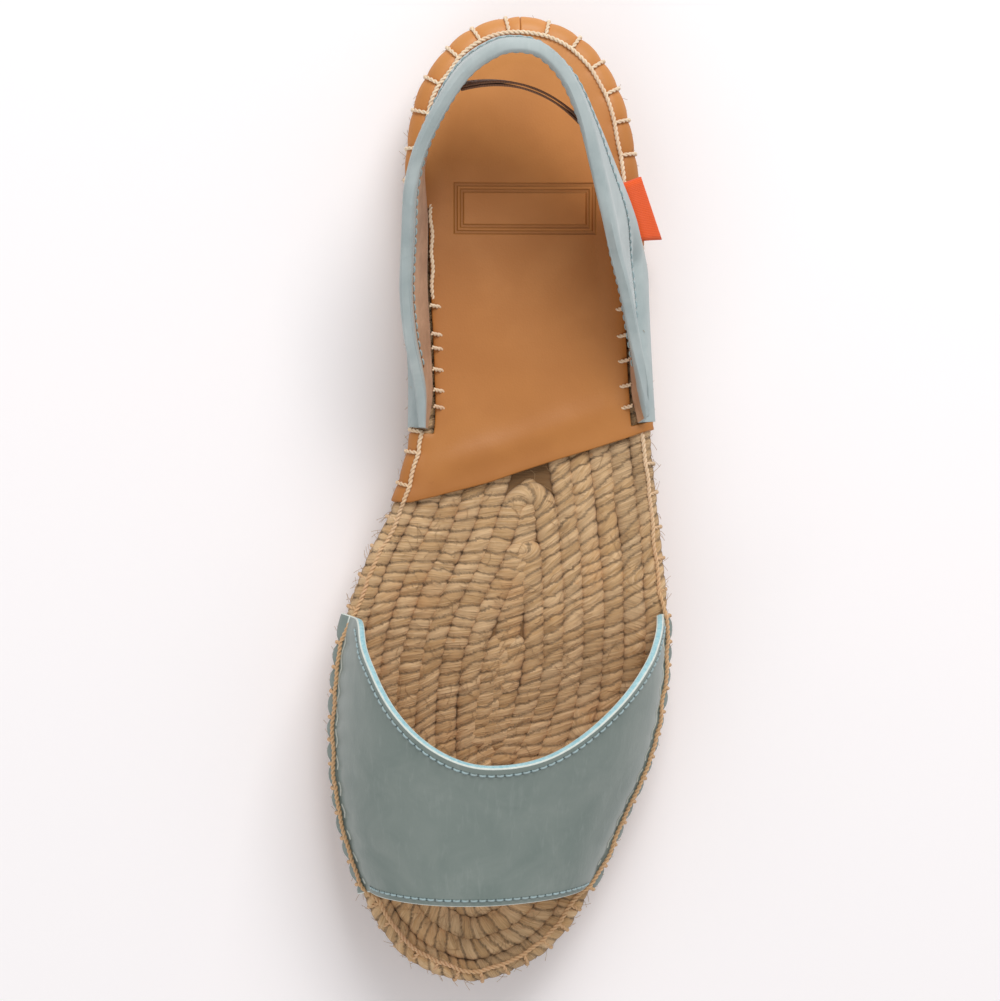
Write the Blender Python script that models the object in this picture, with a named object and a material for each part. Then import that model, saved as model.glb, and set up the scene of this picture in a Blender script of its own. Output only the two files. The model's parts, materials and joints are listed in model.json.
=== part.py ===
"""Avarca sandal on a braided jute sole: the left shoe of a pair, about size 38.

Metres, +Z up. The toe points to -Y and the outer (lateral) side to +X. The origin is on the
ground, under the middle of the sole. Every leather piece is a sheet of its own thickness,
and the pieces lie GAP apart where they meet.
"""

import math
from collections import namedtuple

import bmesh
import bpy
import numpy as np
from mathutils import Vector

# Sole
SOLE_LENGTH = 0.2506
BALL_WIDTH = 0.0876
OUTSOLE_THICK = 0.0040
OUTSOLE_INSET = 0.0014
OUTSOLE_CHAMFER = 0.0010
JUTE_HEIGHT = 0.0180
TOE_SPRING = 0.0050
SPRING_FROM = 0.72
SHOULDER_OUT = 0.0030
SHOULDER_DROP = 0.0050
DISH_DEPTH = 0.0012
DISH_REACH = 0.0200
SPINE_END = 0.0300
ROPE_TURNS = 7
ROPE_GROOVE = 0.0010
GAP = 0.0003
CURVE_CLEAR = 0.0001

# Insole. Its columns are how far it runs over the shoulder, and the notch keeps from one on.
INSOLE_THICK = 0.0015
INSOLE_FRONT_MEDIAL = 0.502
INSOLE_FRONT_LATERAL = 0.430
INSOLE_WRAP_COLUMNS = (0.0044, 0.0030, 0.0015, 0.0, -0.0022, -0.0046, -0.0075)
INSOLE_NOTCH_COLUMN = 5
INSOLE_NOTCH_BACK = 0.0102
INSOLE_NOTCH_FRONT = 0.0016
INSOLE_STATIONS = 34
INSOLE_INNER = 5

# Vamp
VAMP_THICK = 0.0022
VAMP_MARGIN_THICK = 0.0011
VAMP_MARGIN = 0.0052
VAMP_INSET = 0.0016
VAMP_HORN = 0.618
VAMP_TOE_MEDIAL = 0.907
VAMP_TOE_MIDDLE = 0.914
VAMP_TOE_LATERAL = 0.903
THROAT_DEPTH = 0.148
INSTEP_HEIGHT = 0.0440
TOE_BOX_HEIGHT = 0.0235
VAMP_SQUARENESS = 2.25

# Heel strap
STRAP_THICK = 0.0024
STRAP_MARGIN_THICK = 0.0011
STRAP_MARGIN = 0.0050
STRAP_BEND_OUT = 0.0006
STRAP_BEND_LOW = 0.0010
STRAP_BEND_HIGH = 0.0021
STRAP_HEIGHT = 0.0532
STRAP_ROLL = 0.0038
ELASTIC_THICK = 0.0014
ELASTIC_BOW = 0.0046
ELASTIC_SLACK = 0.0000
TAB_THICK = 0.0011
TAB_REACH = 0.0056
TAB_DROOP = 0.0046
TAB_SEAM = 0.0030
TAB_SWEEP = 10.0

LOOP_STATIONS = 40
MEDIAL, LATERAL = -1, 1
HALF_WIDTH = BALL_WIDTH / 2
INSOLE_FRONT = {MEDIAL: INSOLE_FRONT_MEDIAL, LATERAL: INSOLE_FRONT_LATERAL}

# The widest outline of the sole. Place is the share of the length from the heel; the two sides
# are shares of half the ball width.
Breadth = namedtuple("Breadth", "place medial lateral")
HEEL_END = 0.116
TOE_END = -0.169
OUTLINE = [
    Breadth(0.010, 0.14, 0.36),
    Breadth(0.035, 0.324, 0.557),
    Breadth(0.080, 0.482, 0.708),
    Breadth(0.150, 0.550, 0.797),
    Breadth(0.250, 0.550, 0.847),
    Breadth(0.360, 0.523, 0.879),
    Breadth(0.430, 0.525, 0.904),
    Breadth(0.500, 0.632, 0.947),
    Breadth(0.560, 0.799, 0.982),
    Breadth(0.630, 0.936, 1.000),
    Breadth(0.700, 0.993, 0.979),
    Breadth(0.770, 1.000, 0.888),
    Breadth(0.830, 0.954, 0.737),
    Breadth(0.860, 0.912, 0.662),
    Breadth(0.890, 0.856, 0.578),
    Breadth(0.920, 0.790, 0.493),
    Breadth(0.950, 0.690, 0.384),
    Breadth(0.980, 0.507, 0.178),
]

# The jute sole's side below its rounded shoulder, from the ground up.
SideStep = namedtuple("SideStep", "height inset")
JUTE_SIDE = [
    SideStep(0.00, 0.0018),
    SideStep(0.10, 0.0006),
    SideStep(0.32, 0.0000),
    SideStep(0.60, 0.0000),
]

# The strap's rows from the medial tip round the heel to the lateral tip. Top and low edges are
# shares of half the ball width, half the sole length and the strap height above the bed.
# A row that is sewn down has a foot, the share of the length where it stands, and its inset.
StrapRow = namedtuple("StrapRow", "top_x top_y top_z low_x low_y low_z foot inset")
STRAP = [
    StrapRow(-0.474, 0.152, 0.105, 0, 0, 0, 0.4240, 0.0030),
    StrapRow(-0.494, 0.239, 0.210, 0, 0, 0, 0.3850, 0.0038),
    StrapRow(-0.559, 0.339, 0.361, 0, 0, 0, 0.3350, 0.0038),
    StrapRow(-0.584, 0.451, 0.502, 0, 0, 0, 0.2750, 0.0038),
    StrapRow(-0.579, 0.582, 0.662, 0, 0, 0, 0.2080, 0.0040),
    StrapRow(-0.533, 0.675, 0.765, -0.474, 0.694, 0.150, 0, 0),
    StrapRow(-0.422, 0.762, 0.868, -0.406, 0.792, 0.360, 0, 0),
    StrapRow(-0.262, 0.845, 0.934, -0.267, 0.879, 0.490, 0, 0),
    StrapRow(-0.086, 0.890, 0.985, -0.094, 0.922, 0.540, 0, 0),
    StrapRow(0.041, 0.899, 1.000, 0.031, 0.932, 0.550, 0, 0),
    StrapRow(0.174, 0.889, 0.985, 0.182, 0.921, 0.538, 0, 0),
    StrapRow(0.308, 0.845, 0.934, 0.390, 0.857, 0.498, 0, 0),
    StrapRow(0.418, 0.766, 0.859, 0.533, 0.766, 0.400, 0, 0),
    StrapRow(0.490, 0.675, 0.765, 0.664, 0.671, 0.270, 0, 0),
    StrapRow(0.560, 0.582, 0.671, 0.785, 0.579, 0.120, 0, 0),
    StrapRow(0.621, 0.506, 0.568, 0, 0, 0, 0.2560, 0.0040),
    StrapRow(0.692, 0.427, 0.470, 0, 0, 0, 0.2960, 0.0038),
    StrapRow(0.759, 0.337, 0.350, 0, 0, 0, 0.3400, 0.0037),
    StrapRow(0.832, 0.246, 0.220, 0, 0, 0, 0.3840, 0.0036),
    StrapRow(0.871, 0.176, 0.105, 0, 0, 0, 0.4180, 0.0030),
]
STRAP_STATIONS = 58
ELASTIC_ROWS = (6.7, 12.0)
ELASTIC_HEIGHTS = (0.12, 0.32, 0.52, 0.70)
ELASTIC_STATIONS = 21
TAB_ROWS = (13.15, 14.0)
TAB_STATIONS = 5

# The throat's curve: the share of the way across the vamp against the share of its depth.
ThroatPoint = namedtuple("ThroatPoint", "across depth")
THROAT = [
    ThroatPoint(0.00, 0.00),
    ThroatPoint(0.05, 0.22),
    ThroatPoint(0.16, 0.60),
    ThroatPoint(0.30, 0.87),
    ThroatPoint(0.46, 1.00),
    ThroatPoint(0.62, 0.94),
    ThroatPoint(0.78, 0.69),
    ThroatPoint(0.92, 0.32),
    ThroatPoint(1.00, 0.00),
]

COLOURS = {
    "rubber": ((0.32, 0.19, 0.09, 1), 0.75),
    "jute": ((0.47, 0.33, 0.18, 1), 0.95),
    "tan_leather": ((0.58, 0.29, 0.08, 1), 0.50),
    "blue_nubuck": ((0.24, 0.31, 0.32, 1), 0.90),
    "pale_nubuck": ((0.50, 0.56, 0.56, 1), 0.85),
    "brown_elastic": ((0.12, 0.06, 0.03, 1), 0.85),
    "orange_ribbon": ((0.90, 0.12, 0.01, 1), 0.60),
}


def smooth_step(x):
    """0 below 0, 1 above 1, and an even S between."""
    x = np.clip(x, 0.0, 1.0)
    return x * x * (3 - 2 * x)


def smooth_curve(points, samples, closed=False, even=False):
    """A smooth curve through the points, with equal samples on each span. An even curve never
    runs past the values of its points."""
    p = np.array(points, float)
    n = len(p)
    if closed:
        p = np.vstack([p[-1:], p, p[:2]])
    else:
        p = np.vstack([2 * p[0] - p[1], p, 2 * p[-1] - p[-2]])
    chord = np.linalg.norm(np.diff(p, axis=0), axis=1) ** 0.5
    t = np.concatenate([[0.0], np.cumsum(chord)])
    slope = (p[2:] - p[:-2]) / (t[2:] - t[:-2])[:, None]
    if even:
        steep = np.diff(p, axis=0) / np.diff(t)[:, None]
        level = steep[1:] * steep[:-1] <= 0
        limit = 3 * np.minimum(np.abs(steep[1:]), np.abs(steep[:-1]))
        slope = np.where(level, 0.0, np.clip(slope, -limit, limit))
    out = []
    for i in range(n if closed else n - 1):
        h = t[i + 2] - t[i + 1]
        for u in np.arange(samples) / samples:
            out.append(
                (1 + 2 * u) * (1 - u) ** 2 * p[i + 1]
                + u * (1 - u) ** 2 * h * slope[i]
                + u * u * (3 - 2 * u) * p[i + 2]
                + u * u * (u - 1) * h * slope[i + 1]
            )
    if not closed:
        out.append(p[-2])
    return np.array(out)


class Outline:
    """The sole's widest outline in plan, with a point and inward normal at any share of its length."""

    SAMPLES = 24

    def __init__(self):
        points = [(HALF_WIDTH * HEEL_END, SOLE_LENGTH / 2)]
        points += [(-HALF_WIDTH * b.medial, self.y(b.place)) for b in OUTLINE]
        points += [(HALF_WIDTH * TOE_END, -SOLE_LENGTH / 2)]
        points += [(HALF_WIDTH * b.lateral, self.y(b.place)) for b in reversed(OUTLINE)]
        curve = smooth_curve(points, self.SAMPLES, closed=True)
        curve = np.roll(curve, -int(np.argmax(curve[:, 1])), axis=0)
        curve = self.fitted(curve)
        toe = int(np.argmin(curve[:, 1]))
        tangent = np.roll(curve, -1, axis=0) - np.roll(curve, 1, axis=0)
        tangent /= np.linalg.norm(tangent, axis=1)[:, None]
        normal = np.stack([-tangent[:, 1], tangent[:, 0]], axis=1)
        ring = np.vstack([curve, curve[:1]])
        normals = np.vstack([normal, normal[:1]])
        self.curve = curve
        self.side = {
            MEDIAL: (ring[: toe + 1], normals[: toe + 1]),
            LATERAL: (ring[toe:][::-1], normals[toe:][::-1]),
        }

    @staticmethod
    def y(place):
        return SOLE_LENGTH * (0.5 - place)

    @staticmethod
    def fitted(curve):
        """The curve stretched by a hair, so that it has the sole's length and width exactly."""
        low, high = curve.min(axis=0), curve.max(axis=0)
        size = np.array([BALL_WIDTH, SOLE_LENGTH])
        return (curve - (low + high) / 2) * size / (high - low)

    def at(self, side, place, inset=0.0):
        """The plan point at that share of the length, moved inwards by inset."""
        points, normals = self.side[side]
        places = np.maximum.accumulate(0.5 - points[:, 1] / SOLE_LENGTH)
        places = places + np.arange(len(places)) * 1e-9
        x, y, nx, ny = (
            float(np.interp(place, places, column)) for column in (*points.T, *normals.T)
        )
        size = math.hypot(nx, ny)
        return np.array([x + nx / size * inset, y + ny / size * inset])

    def depth(self, x, y):
        """How far from the outline a plan point is."""
        return float(np.min(np.hypot(self.curve[:, 0] - x, self.curve[:, 1] - y)))

    def holds(self, x, y):
        """Whether a plan point is inside the outline."""
        place = 0.5 - y / SOLE_LENGTH
        return self.at(MEDIAL, place)[0] < x < self.at(LATERAL, place)[0]


outline = Outline()


def rise(y):
    """How far the toe spring lifts the sole at y."""
    place = 0.5 - y / SOLE_LENGTH
    return TOE_SPRING * max(0.0, (place - SPRING_FROM) / (1 - SPRING_FROM)) ** 2


def bed_height(x, y):
    """The level of the rope crests on top of the sole."""
    inside = (outline.depth(x, y) - SHOULDER_OUT) / DISH_REACH
    dish = DISH_DEPTH * float(smooth_step(inside))
    return OUTSOLE_THICK + GAP + JUTE_HEIGHT + rise(y) - dish


def on_bed(plan, out):
    """A point over the top of the sole, at a height of out above the ropes."""
    return np.array([plan[0], plan[1], bed_height(*plan) + out])


SHOULDER_ARC = math.pi / 2 * math.sqrt((SHOULDER_OUT**2 + SHOULDER_DROP**2) / 2)


def over_shoulder(side, place, travel, out):
    """A point that lies out above the sole's rounded top edge. Travel is counted outwards from
    where the shoulder starts, so a negative travel is on the flat top."""
    if travel < 0:
        return on_bed(outline.at(side, place, SHOULDER_OUT - travel), out)
    turn = min(travel / SHOULDER_ARC, 1.0) * math.pi / 2
    plan = outline.at(side, place, SHOULDER_OUT - (SHOULDER_OUT + out) * math.sin(turn))
    top = OUTSOLE_THICK + GAP + JUTE_HEIGHT + rise(outline.y(place))
    z = top - SHOULDER_DROP + (SHOULDER_DROP + out) * math.cos(turn)
    return np.array([plan[0], plan[1], z])


def loop_places():
    """Shares of the length for a loop, close together at the round heel and toe."""
    steps = np.arange(LOOP_STATIONS + 1) / LOOP_STATIONS
    return 0.5 * (1 - np.cos(math.pi * steps))


def sole_loop(inset):
    """The outline, inset, as plan points: the heel end, the medial side, the toe end, then back."""
    places = loop_places()
    medial = [outline.at(MEDIAL, s, inset) for s in places]
    lateral = [outline.at(LATERAL, s, inset) for s in places[1:-1]]
    return medial + lateral[::-1]


def spine_point(y):
    """The middle of the sole at y, held clear of the round ends."""
    reach = SOLE_LENGTH / 2 - SPINE_END
    y = max(-reach, min(reach, y))
    place = 0.5 - y / SOLE_LENGTH
    x = (outline.at(MEDIAL, place)[0] + outline.at(LATERAL, place)[0]) / 2
    return np.array([x, y])


def material(name):
    """The named finish, made once."""
    made = bpy.data.materials.get(name)
    if made is None:
        made = bpy.data.materials.new(name)
        made.use_nodes = True
        shader = made.node_tree.nodes["Principled BSDF"]
        colour, roughness = COLOURS[name]
        shader.inputs["Base Color"].default_value = colour
        shader.inputs["Roughness"].default_value = roughness
        shader.inputs["Metallic"].default_value = 0.0
    return made


def add_object(name, bm, finish, smooth_angle=50):
    """A new object from the bmesh, with its finish and its faces pointing out."""
    bmesh.ops.remove_doubles(bm, verts=bm.verts, dist=1e-6)
    bmesh.ops.recalc_face_normals(bm, faces=bm.faces)
    mesh = bpy.data.meshes.new(name)
    bm.to_mesh(mesh)
    bm.free()
    mesh.shade_smooth()
    mesh.set_sharp_from_angle(angle=math.radians(smooth_angle))
    mesh.materials.append(material(finish))
    obj = bpy.data.objects.new(name, mesh)
    bpy.context.scene.collection.objects.link(obj)
    return obj


def add_row(bm, points):
    return [bm.verts.new(Vector(p)) for p in points]


def join_rows(bm, first, second, closed):
    """Quads between two rows of vertices."""
    count = len(first)
    for i in range(count if closed else count - 1):
        j = (i + 1) % count
        bm.faces.new((first[i], first[j], second[j], second[i]))


def close_across(bm, loop):
    """Faces across a sole loop, from each medial vertex to the lateral one beside it."""
    stations = len(loop) // 2
    lateral = [loop[0]] + loop[:stations:-1] + [loop[stations]]
    medial = loop[: stations + 1]
    for j in range(stations):
        corners = [medial[j], medial[j + 1], lateral[j + 1], lateral[j]]
        bm.faces.new(list(dict.fromkeys(corners)))


def loft_sole(name, loops, finish):
    """A solid through closed sole loops, with both ends filled across."""
    bm = bmesh.new()
    rows = [add_row(bm, loop) for loop in loops]
    for first, second in zip(rows, rows[1:]):
        join_rows(bm, first, second, closed=True)
    close_across(bm, rows[0])
    close_across(bm, rows[-1])
    bmesh.ops.triangulate(bm, faces=[f for f in bm.faces if len(f.verts) > 4])
    return add_object(name, bm, finish)


def sheet_solid(name, middle, half, finish):
    """A sheet around a grid of points, half as thick each way as the grid half says."""
    grid = np.array(middle, float)
    along = np.gradient(grid, axis=0)
    across = np.gradient(grid, axis=1)
    normal = np.cross(along, across)
    normal /= np.linalg.norm(normal, axis=2)[:, :, None]
    offset = normal * np.array(half, float)[:, :, None]
    bm = bmesh.new()
    front = [add_row(bm, row) for row in grid + offset]
    back = [add_row(bm, row) for row in grid - offset]
    for rows in (front, back):
        for first, second in zip(rows, rows[1:]):
            join_rows(bm, first, second, closed=False)
    for edge_of in (
        lambda rows: rows[0],
        lambda rows: rows[-1],
        lambda rows: [row[0] for row in rows],
        lambda rows: [row[-1] for row in rows],
    ):
        join_rows(bm, edge_of(front), edge_of(back), closed=False)
    return add_object(name, bm, finish)


def make_outsole():
    """The thin rubber tread sheet, flat under heel and ball and lifted at the toe."""

    def at_height(inset, z):
        return [np.array([x, y, z + rise(y)]) for x, y in sole_loop(inset)]

    inset = OUTSOLE_INSET
    return loft_sole(
        "outsole",
        [
            at_height(inset + OUTSOLE_CHAMFER, 0.0),
            at_height(inset, OUTSOLE_CHAMFER),
            at_height(inset, OUTSOLE_THICK),
        ],
        "rubber",
    )


def make_jute_sole():
    """The coiled braid: a rounded side, and on top the turns of rope with a groove between."""
    base = OUTSOLE_THICK + GAP
    loops = []
    for step in JUTE_SIDE:
        z = base + step.height * JUTE_HEIGHT
        loops.append([np.array([x, y, z + rise(y)]) for x, y in sole_loop(step.inset)])
    places = loop_places()
    stations = [(MEDIAL, s) for s in places] + [(LATERAL, s) for s in places[-2:0:-1]]
    for share in (0.75, 0.5, 0.25):
        loops.append([over_shoulder(side, s, SHOULDER_ARC * share, 0) for side, s in stations])
    rim = sole_loop(SHOULDER_OUT)
    spine = [spine_point(y) for _, y in rim]
    for turn in range(ROPE_TURNS):
        crests = [(0.30, 0.0), (0.70, 0.0)]
        if turn == 0:
            rows = [(0.0, 0.0), (0.70, 0.0)]
        elif turn == ROPE_TURNS - 1:
            rows = [(0.0, -ROPE_GROOVE), (0.30, 0.0)]
        else:
            rows = [(0.0, -ROPE_GROOVE)] + crests
        for across, drop in rows:
            share = (turn + across) / ROPE_TURNS
            plan = [p + (s - p) * share for p, s in zip(rim, spine)]
            loops.append([on_bed(p, drop) for p in plan])
    return loft_sole("jute_sole", loops, "jute")


def strap_base_span(side):
    """Where the strap is sewn down on that side: its back and front shares of the length."""
    sign = -1 if side == MEDIAL else 1
    feet = [row.foot for row in STRAP if row.foot and row.top_x * sign > 0]
    return min(feet), max(feet)


def in_notch(side, place):
    """Whether the insole is cut back at that share of the length, to make room for the strap."""
    back, front = strap_base_span(side)
    behind = INSOLE_NOTCH_BACK / SOLE_LENGTH
    ahead = INSOLE_NOTCH_FRONT / SOLE_LENGTH
    return back - behind < place < (front + ahead if side == MEDIAL else 1.0)


def insole_steps():
    """Steps along the insole, 0 at the heel end and 1 at its front edge, with one at each end
    of the notches."""
    even = 1 - np.cos(math.pi / 2 * np.arange(INSOLE_STATIONS + 1) / INSOLE_STATIONS)
    ends = []
    for side, front_edge in INSOLE_FRONT.items():
        back, front = strap_base_span(side)
        ends.append((back - INSOLE_NOTCH_BACK / SOLE_LENGTH) / front_edge)
        ends.append((front + INSOLE_NOTCH_FRONT / SOLE_LENGTH) / front_edge)
    ends = [e for e in ends if e < 0.98]
    spare = 0.35 / INSOLE_STATIONS
    kept = [e for e in even if all(abs(e - end) > spare for end in ends)]
    return sorted(kept + ends)


def make_insole():
    """The leather sock of the back half: wrapped over the edge, and cut back where the strap stands."""
    start = INSOLE_WRAP_COLUMNS[-1]
    steps = insole_steps()
    lines = {MEDIAL: [], LATERAL: []}
    for step in steps:
        starts = {
            side: outline.at(side, front * step, SHOULDER_OUT - start)
            for side, front in INSOLE_FRONT.items()
        }
        middle = (starts[MEDIAL] + starts[LATERAL]) / 2
        if middle[1] > SOLE_LENGTH / 2 - SPINE_END:
            middle = spine_point(middle[1])
        for side, front in INSOLE_FRONT.items():
            line = [over_shoulder(side, front * step, t, GAP) for t in INSOLE_WRAP_COLUMNS]
            for k in range(1, INSOLE_INNER + 1):
                plan = starts[side] + (middle - starts[side]) * k / INSOLE_INNER
                line.append(on_bed(plan, GAP))
            lines[side].append(line)
    bm = bmesh.new()
    for side, side_lines in lines.items():
        rows = [add_row(bm, line) for line in side_lines]
        for i, (first, second) in enumerate(zip(rows, rows[1:])):
            place = INSOLE_FRONT[side] * (steps[i] + steps[i + 1]) / 2
            cut = INSOLE_NOTCH_COLUMN if in_notch(side, place) else 0
            join_rows(bm, first[cut:], second[cut:], closed=False)
    bmesh.ops.delete(bm, geom=[v for v in bm.verts if not v.link_faces], context="VERTS")
    bmesh.ops.remove_doubles(bm, verts=bm.verts, dist=1e-6)
    bmesh.ops.recalc_face_normals(bm, faces=bm.faces)
    if sum(f.normal.z for f in bm.faces) < 0:
        bmesh.ops.reverse_faces(bm, faces=bm.faces)
    obj = add_object("insole", bm, "tan_leather")
    wall = obj.modifiers.new("thickness", "SOLIDIFY")
    wall.thickness = INSOLE_THICK
    wall.offset = 1.0
    return obj


def throat_depth(across):
    """The throat's depth at a share of the way across, as a share of its deepest."""
    return float(np.interp(across, [p[0] for p in THROAT_CURVE], [p[1] for p in THROAT_CURVE]))


THROAT_CURVE = smooth_curve(THROAT, 8)


def vamp_row(share):
    """One row of the vamp, from the medial margin over the foot to the lateral margin.
    Share is 0 at the throat and 1 at the toe opening."""
    place = {
        MEDIAL: VAMP_HORN + (VAMP_TOE_MEDIAL - VAMP_HORN) * share,
        LATERAL: VAMP_HORN + (VAMP_TOE_LATERAL - VAMP_HORN) * share,
    }
    half = VAMP_MARGIN_THICK / 2
    margins = {}
    for side in (MEDIAL, LATERAL):
        margins[side] = [
            over_shoulder(side, place[side], VAMP_MARGIN * part, GAP + half + CURVE_CLEAR)
            for part in (1.0, 0.72, 0.44)
        ]
    points = list(margins[MEDIAL])
    thick = [half] * len(points)
    arch_steps = 20
    for k in range(arch_steps + 1):
        turn = math.pi * (0.045 + 0.91 * k / arch_steps)
        across = 0.5 * (1 - math.cos(turn))
        side_place = place[MEDIAL] + (place[LATERAL] - place[MEDIAL]) * across
        throat = VAMP_HORN + THROAT_DEPTH * throat_depth(across)
        bow = 4 * across * (1 - across)
        toe = VAMP_TOE_MEDIAL + (VAMP_TOE_LATERAL - VAMP_TOE_MEDIAL) * across
        toe += (VAMP_TOE_MIDDLE - (VAMP_TOE_MEDIAL + VAMP_TOE_LATERAL) / 2) * bow
        along = throat + (toe - throat) * share
        along = side_place + (along - side_place) * float(smooth_step(bow * 6))
        points.append(form_point(along, turn))
        thick.append(VAMP_THICK / 2)
    points += margins[LATERAL][::-1]
    thick += [half] * len(margins[LATERAL])
    return points, thick


def form_point(place, turn):
    """A point on the foot's form over the ball and toes. Turn runs from 0 at the medial edge
    of the sole to pi at the lateral edge."""
    foot_inset = VAMP_INSET + VAMP_THICK / 2
    medial = outline.at(MEDIAL, place, foot_inset)
    lateral = outline.at(LATERAL, place, foot_inset)
    power = 2 / VAMP_SQUARENESS
    c, s = math.cos(turn), math.sin(turn)
    across = 0.5 * (1 - math.copysign(abs(c) ** power, c))
    plan = medial + (lateral - medial) * across
    deepest = VAMP_HORN + THROAT_DEPTH
    back = (place - deepest) / (VAMP_TOE_MIDDLE - deepest)
    crest = INSTEP_HEIGHT + (TOE_BOX_HEIGHT - INSTEP_HEIGHT) * back
    base = OUTSOLE_THICK + GAP + JUTE_HEIGHT + rise(plan[1])
    return np.array([plan[0], plan[1], base + crest * s**power])


def make_vamp():
    """The front band: one bent wall, open at the throat, the toe and underneath, with its
    margins turned down over the side of the sole."""
    rows = 13
    grid, half = zip(*(vamp_row(r / rows) for r in range(rows + 1)))
    return sheet_solid("vamp", grid, half, "blue_nubuck")


# The strap's section, from the margin's end up to the rolled top edge.
MARGIN_PARTS = (1.0, 0.62, 0.27)
FREE_PARTS = (0.0, 0.07, 0.14, 0.21, 0.30)
ROLL_DROPS = (2.1, 1.4, 0.75, 0.26, 0.0)
ROLL_SWELL = (0.05, 0.45, 1.0, 0.62, -0.60)
TIP_HEIGHT = 0.0085


def strap_section(row):
    """The section at one row of the table: its middle points and half thicknesses."""
    bed = OUTSOLE_THICK + GAP + JUTE_HEIGHT
    top = np.array(
        [
            row.top_x * HALF_WIDTH,
            row.top_y * SOLE_LENGTH / 2,
            bed + row.top_z * STRAP_HEIGHT,
        ]
    )
    margin_half = STRAP_MARGIN_THICK / 2
    wall_half = STRAP_THICK / 2
    if row.foot:
        side = MEDIAL if row.top_x < 0 else LATERAL
        low = [
            over_shoulder(side, row.foot, STRAP_MARGIN * part, GAP + margin_half)
            for part in MARGIN_PARTS
        ]
        low.append(on_bed(outline.at(side, row.foot, row.inset - STRAP_BEND_OUT), GAP + STRAP_BEND_LOW))
        low.append(on_bed(outline.at(side, row.foot, row.inset), GAP + STRAP_BEND_HIGH))
    else:
        edge = np.array(
            [
                row.low_x * HALF_WIDTH,
                row.low_y * SOLE_LENGTH / 2,
                bed + row.low_z * STRAP_HEIGHT,
            ]
        )
        low = [edge + (top - edge) * part for part in FREE_PARTS]
    wall = top - low[-1]
    length = float(np.linalg.norm(wall))
    fit = min(1.0, length / TIP_HEIGHT)
    swell = STRAP_ROLL * (0.72 + 0.28 * row.top_z) * (0.45 + 0.55 * fit)
    wall_half *= 0.3 + 0.7 * fit
    roll = min(swell, length / (ROLL_DROPS[0] * 1.8))
    points = list(low)
    start = 1 - ROLL_DROPS[0] * roll / length
    points += [low[-1] + wall * start * part for part in (0.34, 0.67)]
    points += [top - wall * drop * roll / length for drop in ROLL_DROPS]
    half = [margin_half] * 3 + [0.5 * (margin_half + wall_half)] + [wall_half] * 3
    if not row.foot:
        half[:4] = [margin_half] + [wall_half] * 3
    half += [wall_half + (swell / 2 - wall_half) * share for share in ROLL_SWELL]
    return np.array(points), np.array(half)


def kept_off(point, half):
    """The point raised, where need be, so that a sheet there clears the sole."""
    clear = GAP + half
    depth = outline.depth(point[0], point[1])
    inside = outline.holds(point[0], point[1])
    over = SHOULDER_OUT - (depth if inside else -depth)
    base = OUTSOLE_THICK + GAP + JUTE_HEIGHT + rise(point[1]) - SHOULDER_DROP
    if over >= SHOULDER_OUT + clear:
        return point
    share = max(0.0, over) / (SHOULDER_OUT + clear)
    low = base + (SHOULDER_DROP + clear) * math.sqrt(1 - share * share)
    if over <= 0:
        low = bed_height(point[0], point[1]) + clear
    return np.array([point[0], point[1], max(point[2], low)])


def strap_grid():
    """The whole strap's middle points and half thicknesses, smooth from row to row."""
    sections = [strap_section(row) for row in STRAP]
    columns = len(sections[0][0])
    spans = 12
    packed = np.array([np.hstack([p, h[:, None]]).ravel() for p, h in sections])
    curve = smooth_curve(packed, spans, even=True).reshape(-1, columns, 4)
    for section in curve:
        for column in section[:5]:
            column[:3] = kept_off(column[:3], column[3])
    return curve, spans


def make_heel_strap():
    """The sling: a band that stands on both sides of the sole and runs free round the heel."""
    curve, _ = strap_grid()
    pick = np.linspace(0, len(curve) - 1, STRAP_STATIONS).round().astype(int)
    chosen = curve[pick]
    return sheet_solid("heel_strap", chosen[:, :, :3], chosen[:, :, 3], "pale_nubuck")


def strap_frames(first, last, count):
    """Sections between two of the strap's rows: middle points, half thicknesses and the
    direction that faces out of the heel."""
    curve, spans = strap_grid()
    frames = []
    for at in np.linspace(first * spans, last * spans, count).round().astype(int):
        section, half = curve[at, :, :3], curve[at, :, 3]
        along = curve[at + 1, 6, :3] - curve[at - 1, 6, :3]
        normal = np.cross(along, section[-1] - section[4])
        normal /= np.linalg.norm(normal)
        if normal @ (section[6] - np.array([0.0, SOLE_LENGTH / 4, 0.0])) < 0:
            normal = -normal
        frames.append((section, half, normal))
    return frames


def up_the_section(section, half, share):
    """The middle point and half thickness at a share of the way up a free section."""
    steps = np.linalg.norm(np.diff(section, axis=0), axis=1)
    along = np.concatenate([[0.0], np.cumsum(steps)])
    at = share * along[-1]
    point = np.array([np.interp(at, along, section[:, axis]) for axis in range(3)])
    return point, float(np.interp(at, along, half))


def make_heel_elastic():
    """The elastic inside the strap: sewn to its inner face at both ends, a bowed chord between."""
    half = ELASTIC_THICK / 2
    ends = []
    for section, thickness, normal in strap_frames(*ELASTIC_ROWS, 2):
        line = []
        for share in ELASTIC_HEIGHTS:
            point, wall_half = up_the_section(section, thickness, share)
            line.append(point - normal * (wall_half + GAP + half + ELASTIC_SLACK))
        ends.append(np.array(line))
    chord = ends[1][1] - ends[0][1]
    out = np.array([-chord[1], chord[0], 0.0])
    out /= np.linalg.norm(out)
    if out[1] < 0:
        out = -out
    grid = []
    for share in np.linspace(0, 1, ELASTIC_STATIONS):
        bow = 4 * share * (1 - share) * ELASTIC_BOW
        grid.append(ends[0] * (1 - share) + ends[1] * share + out * bow)
    thick = [[half] * len(ELASTIC_HEIGHTS)] * len(grid)
    return sheet_solid("heel_elastic", grid, thick, "brown_elastic")


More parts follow.
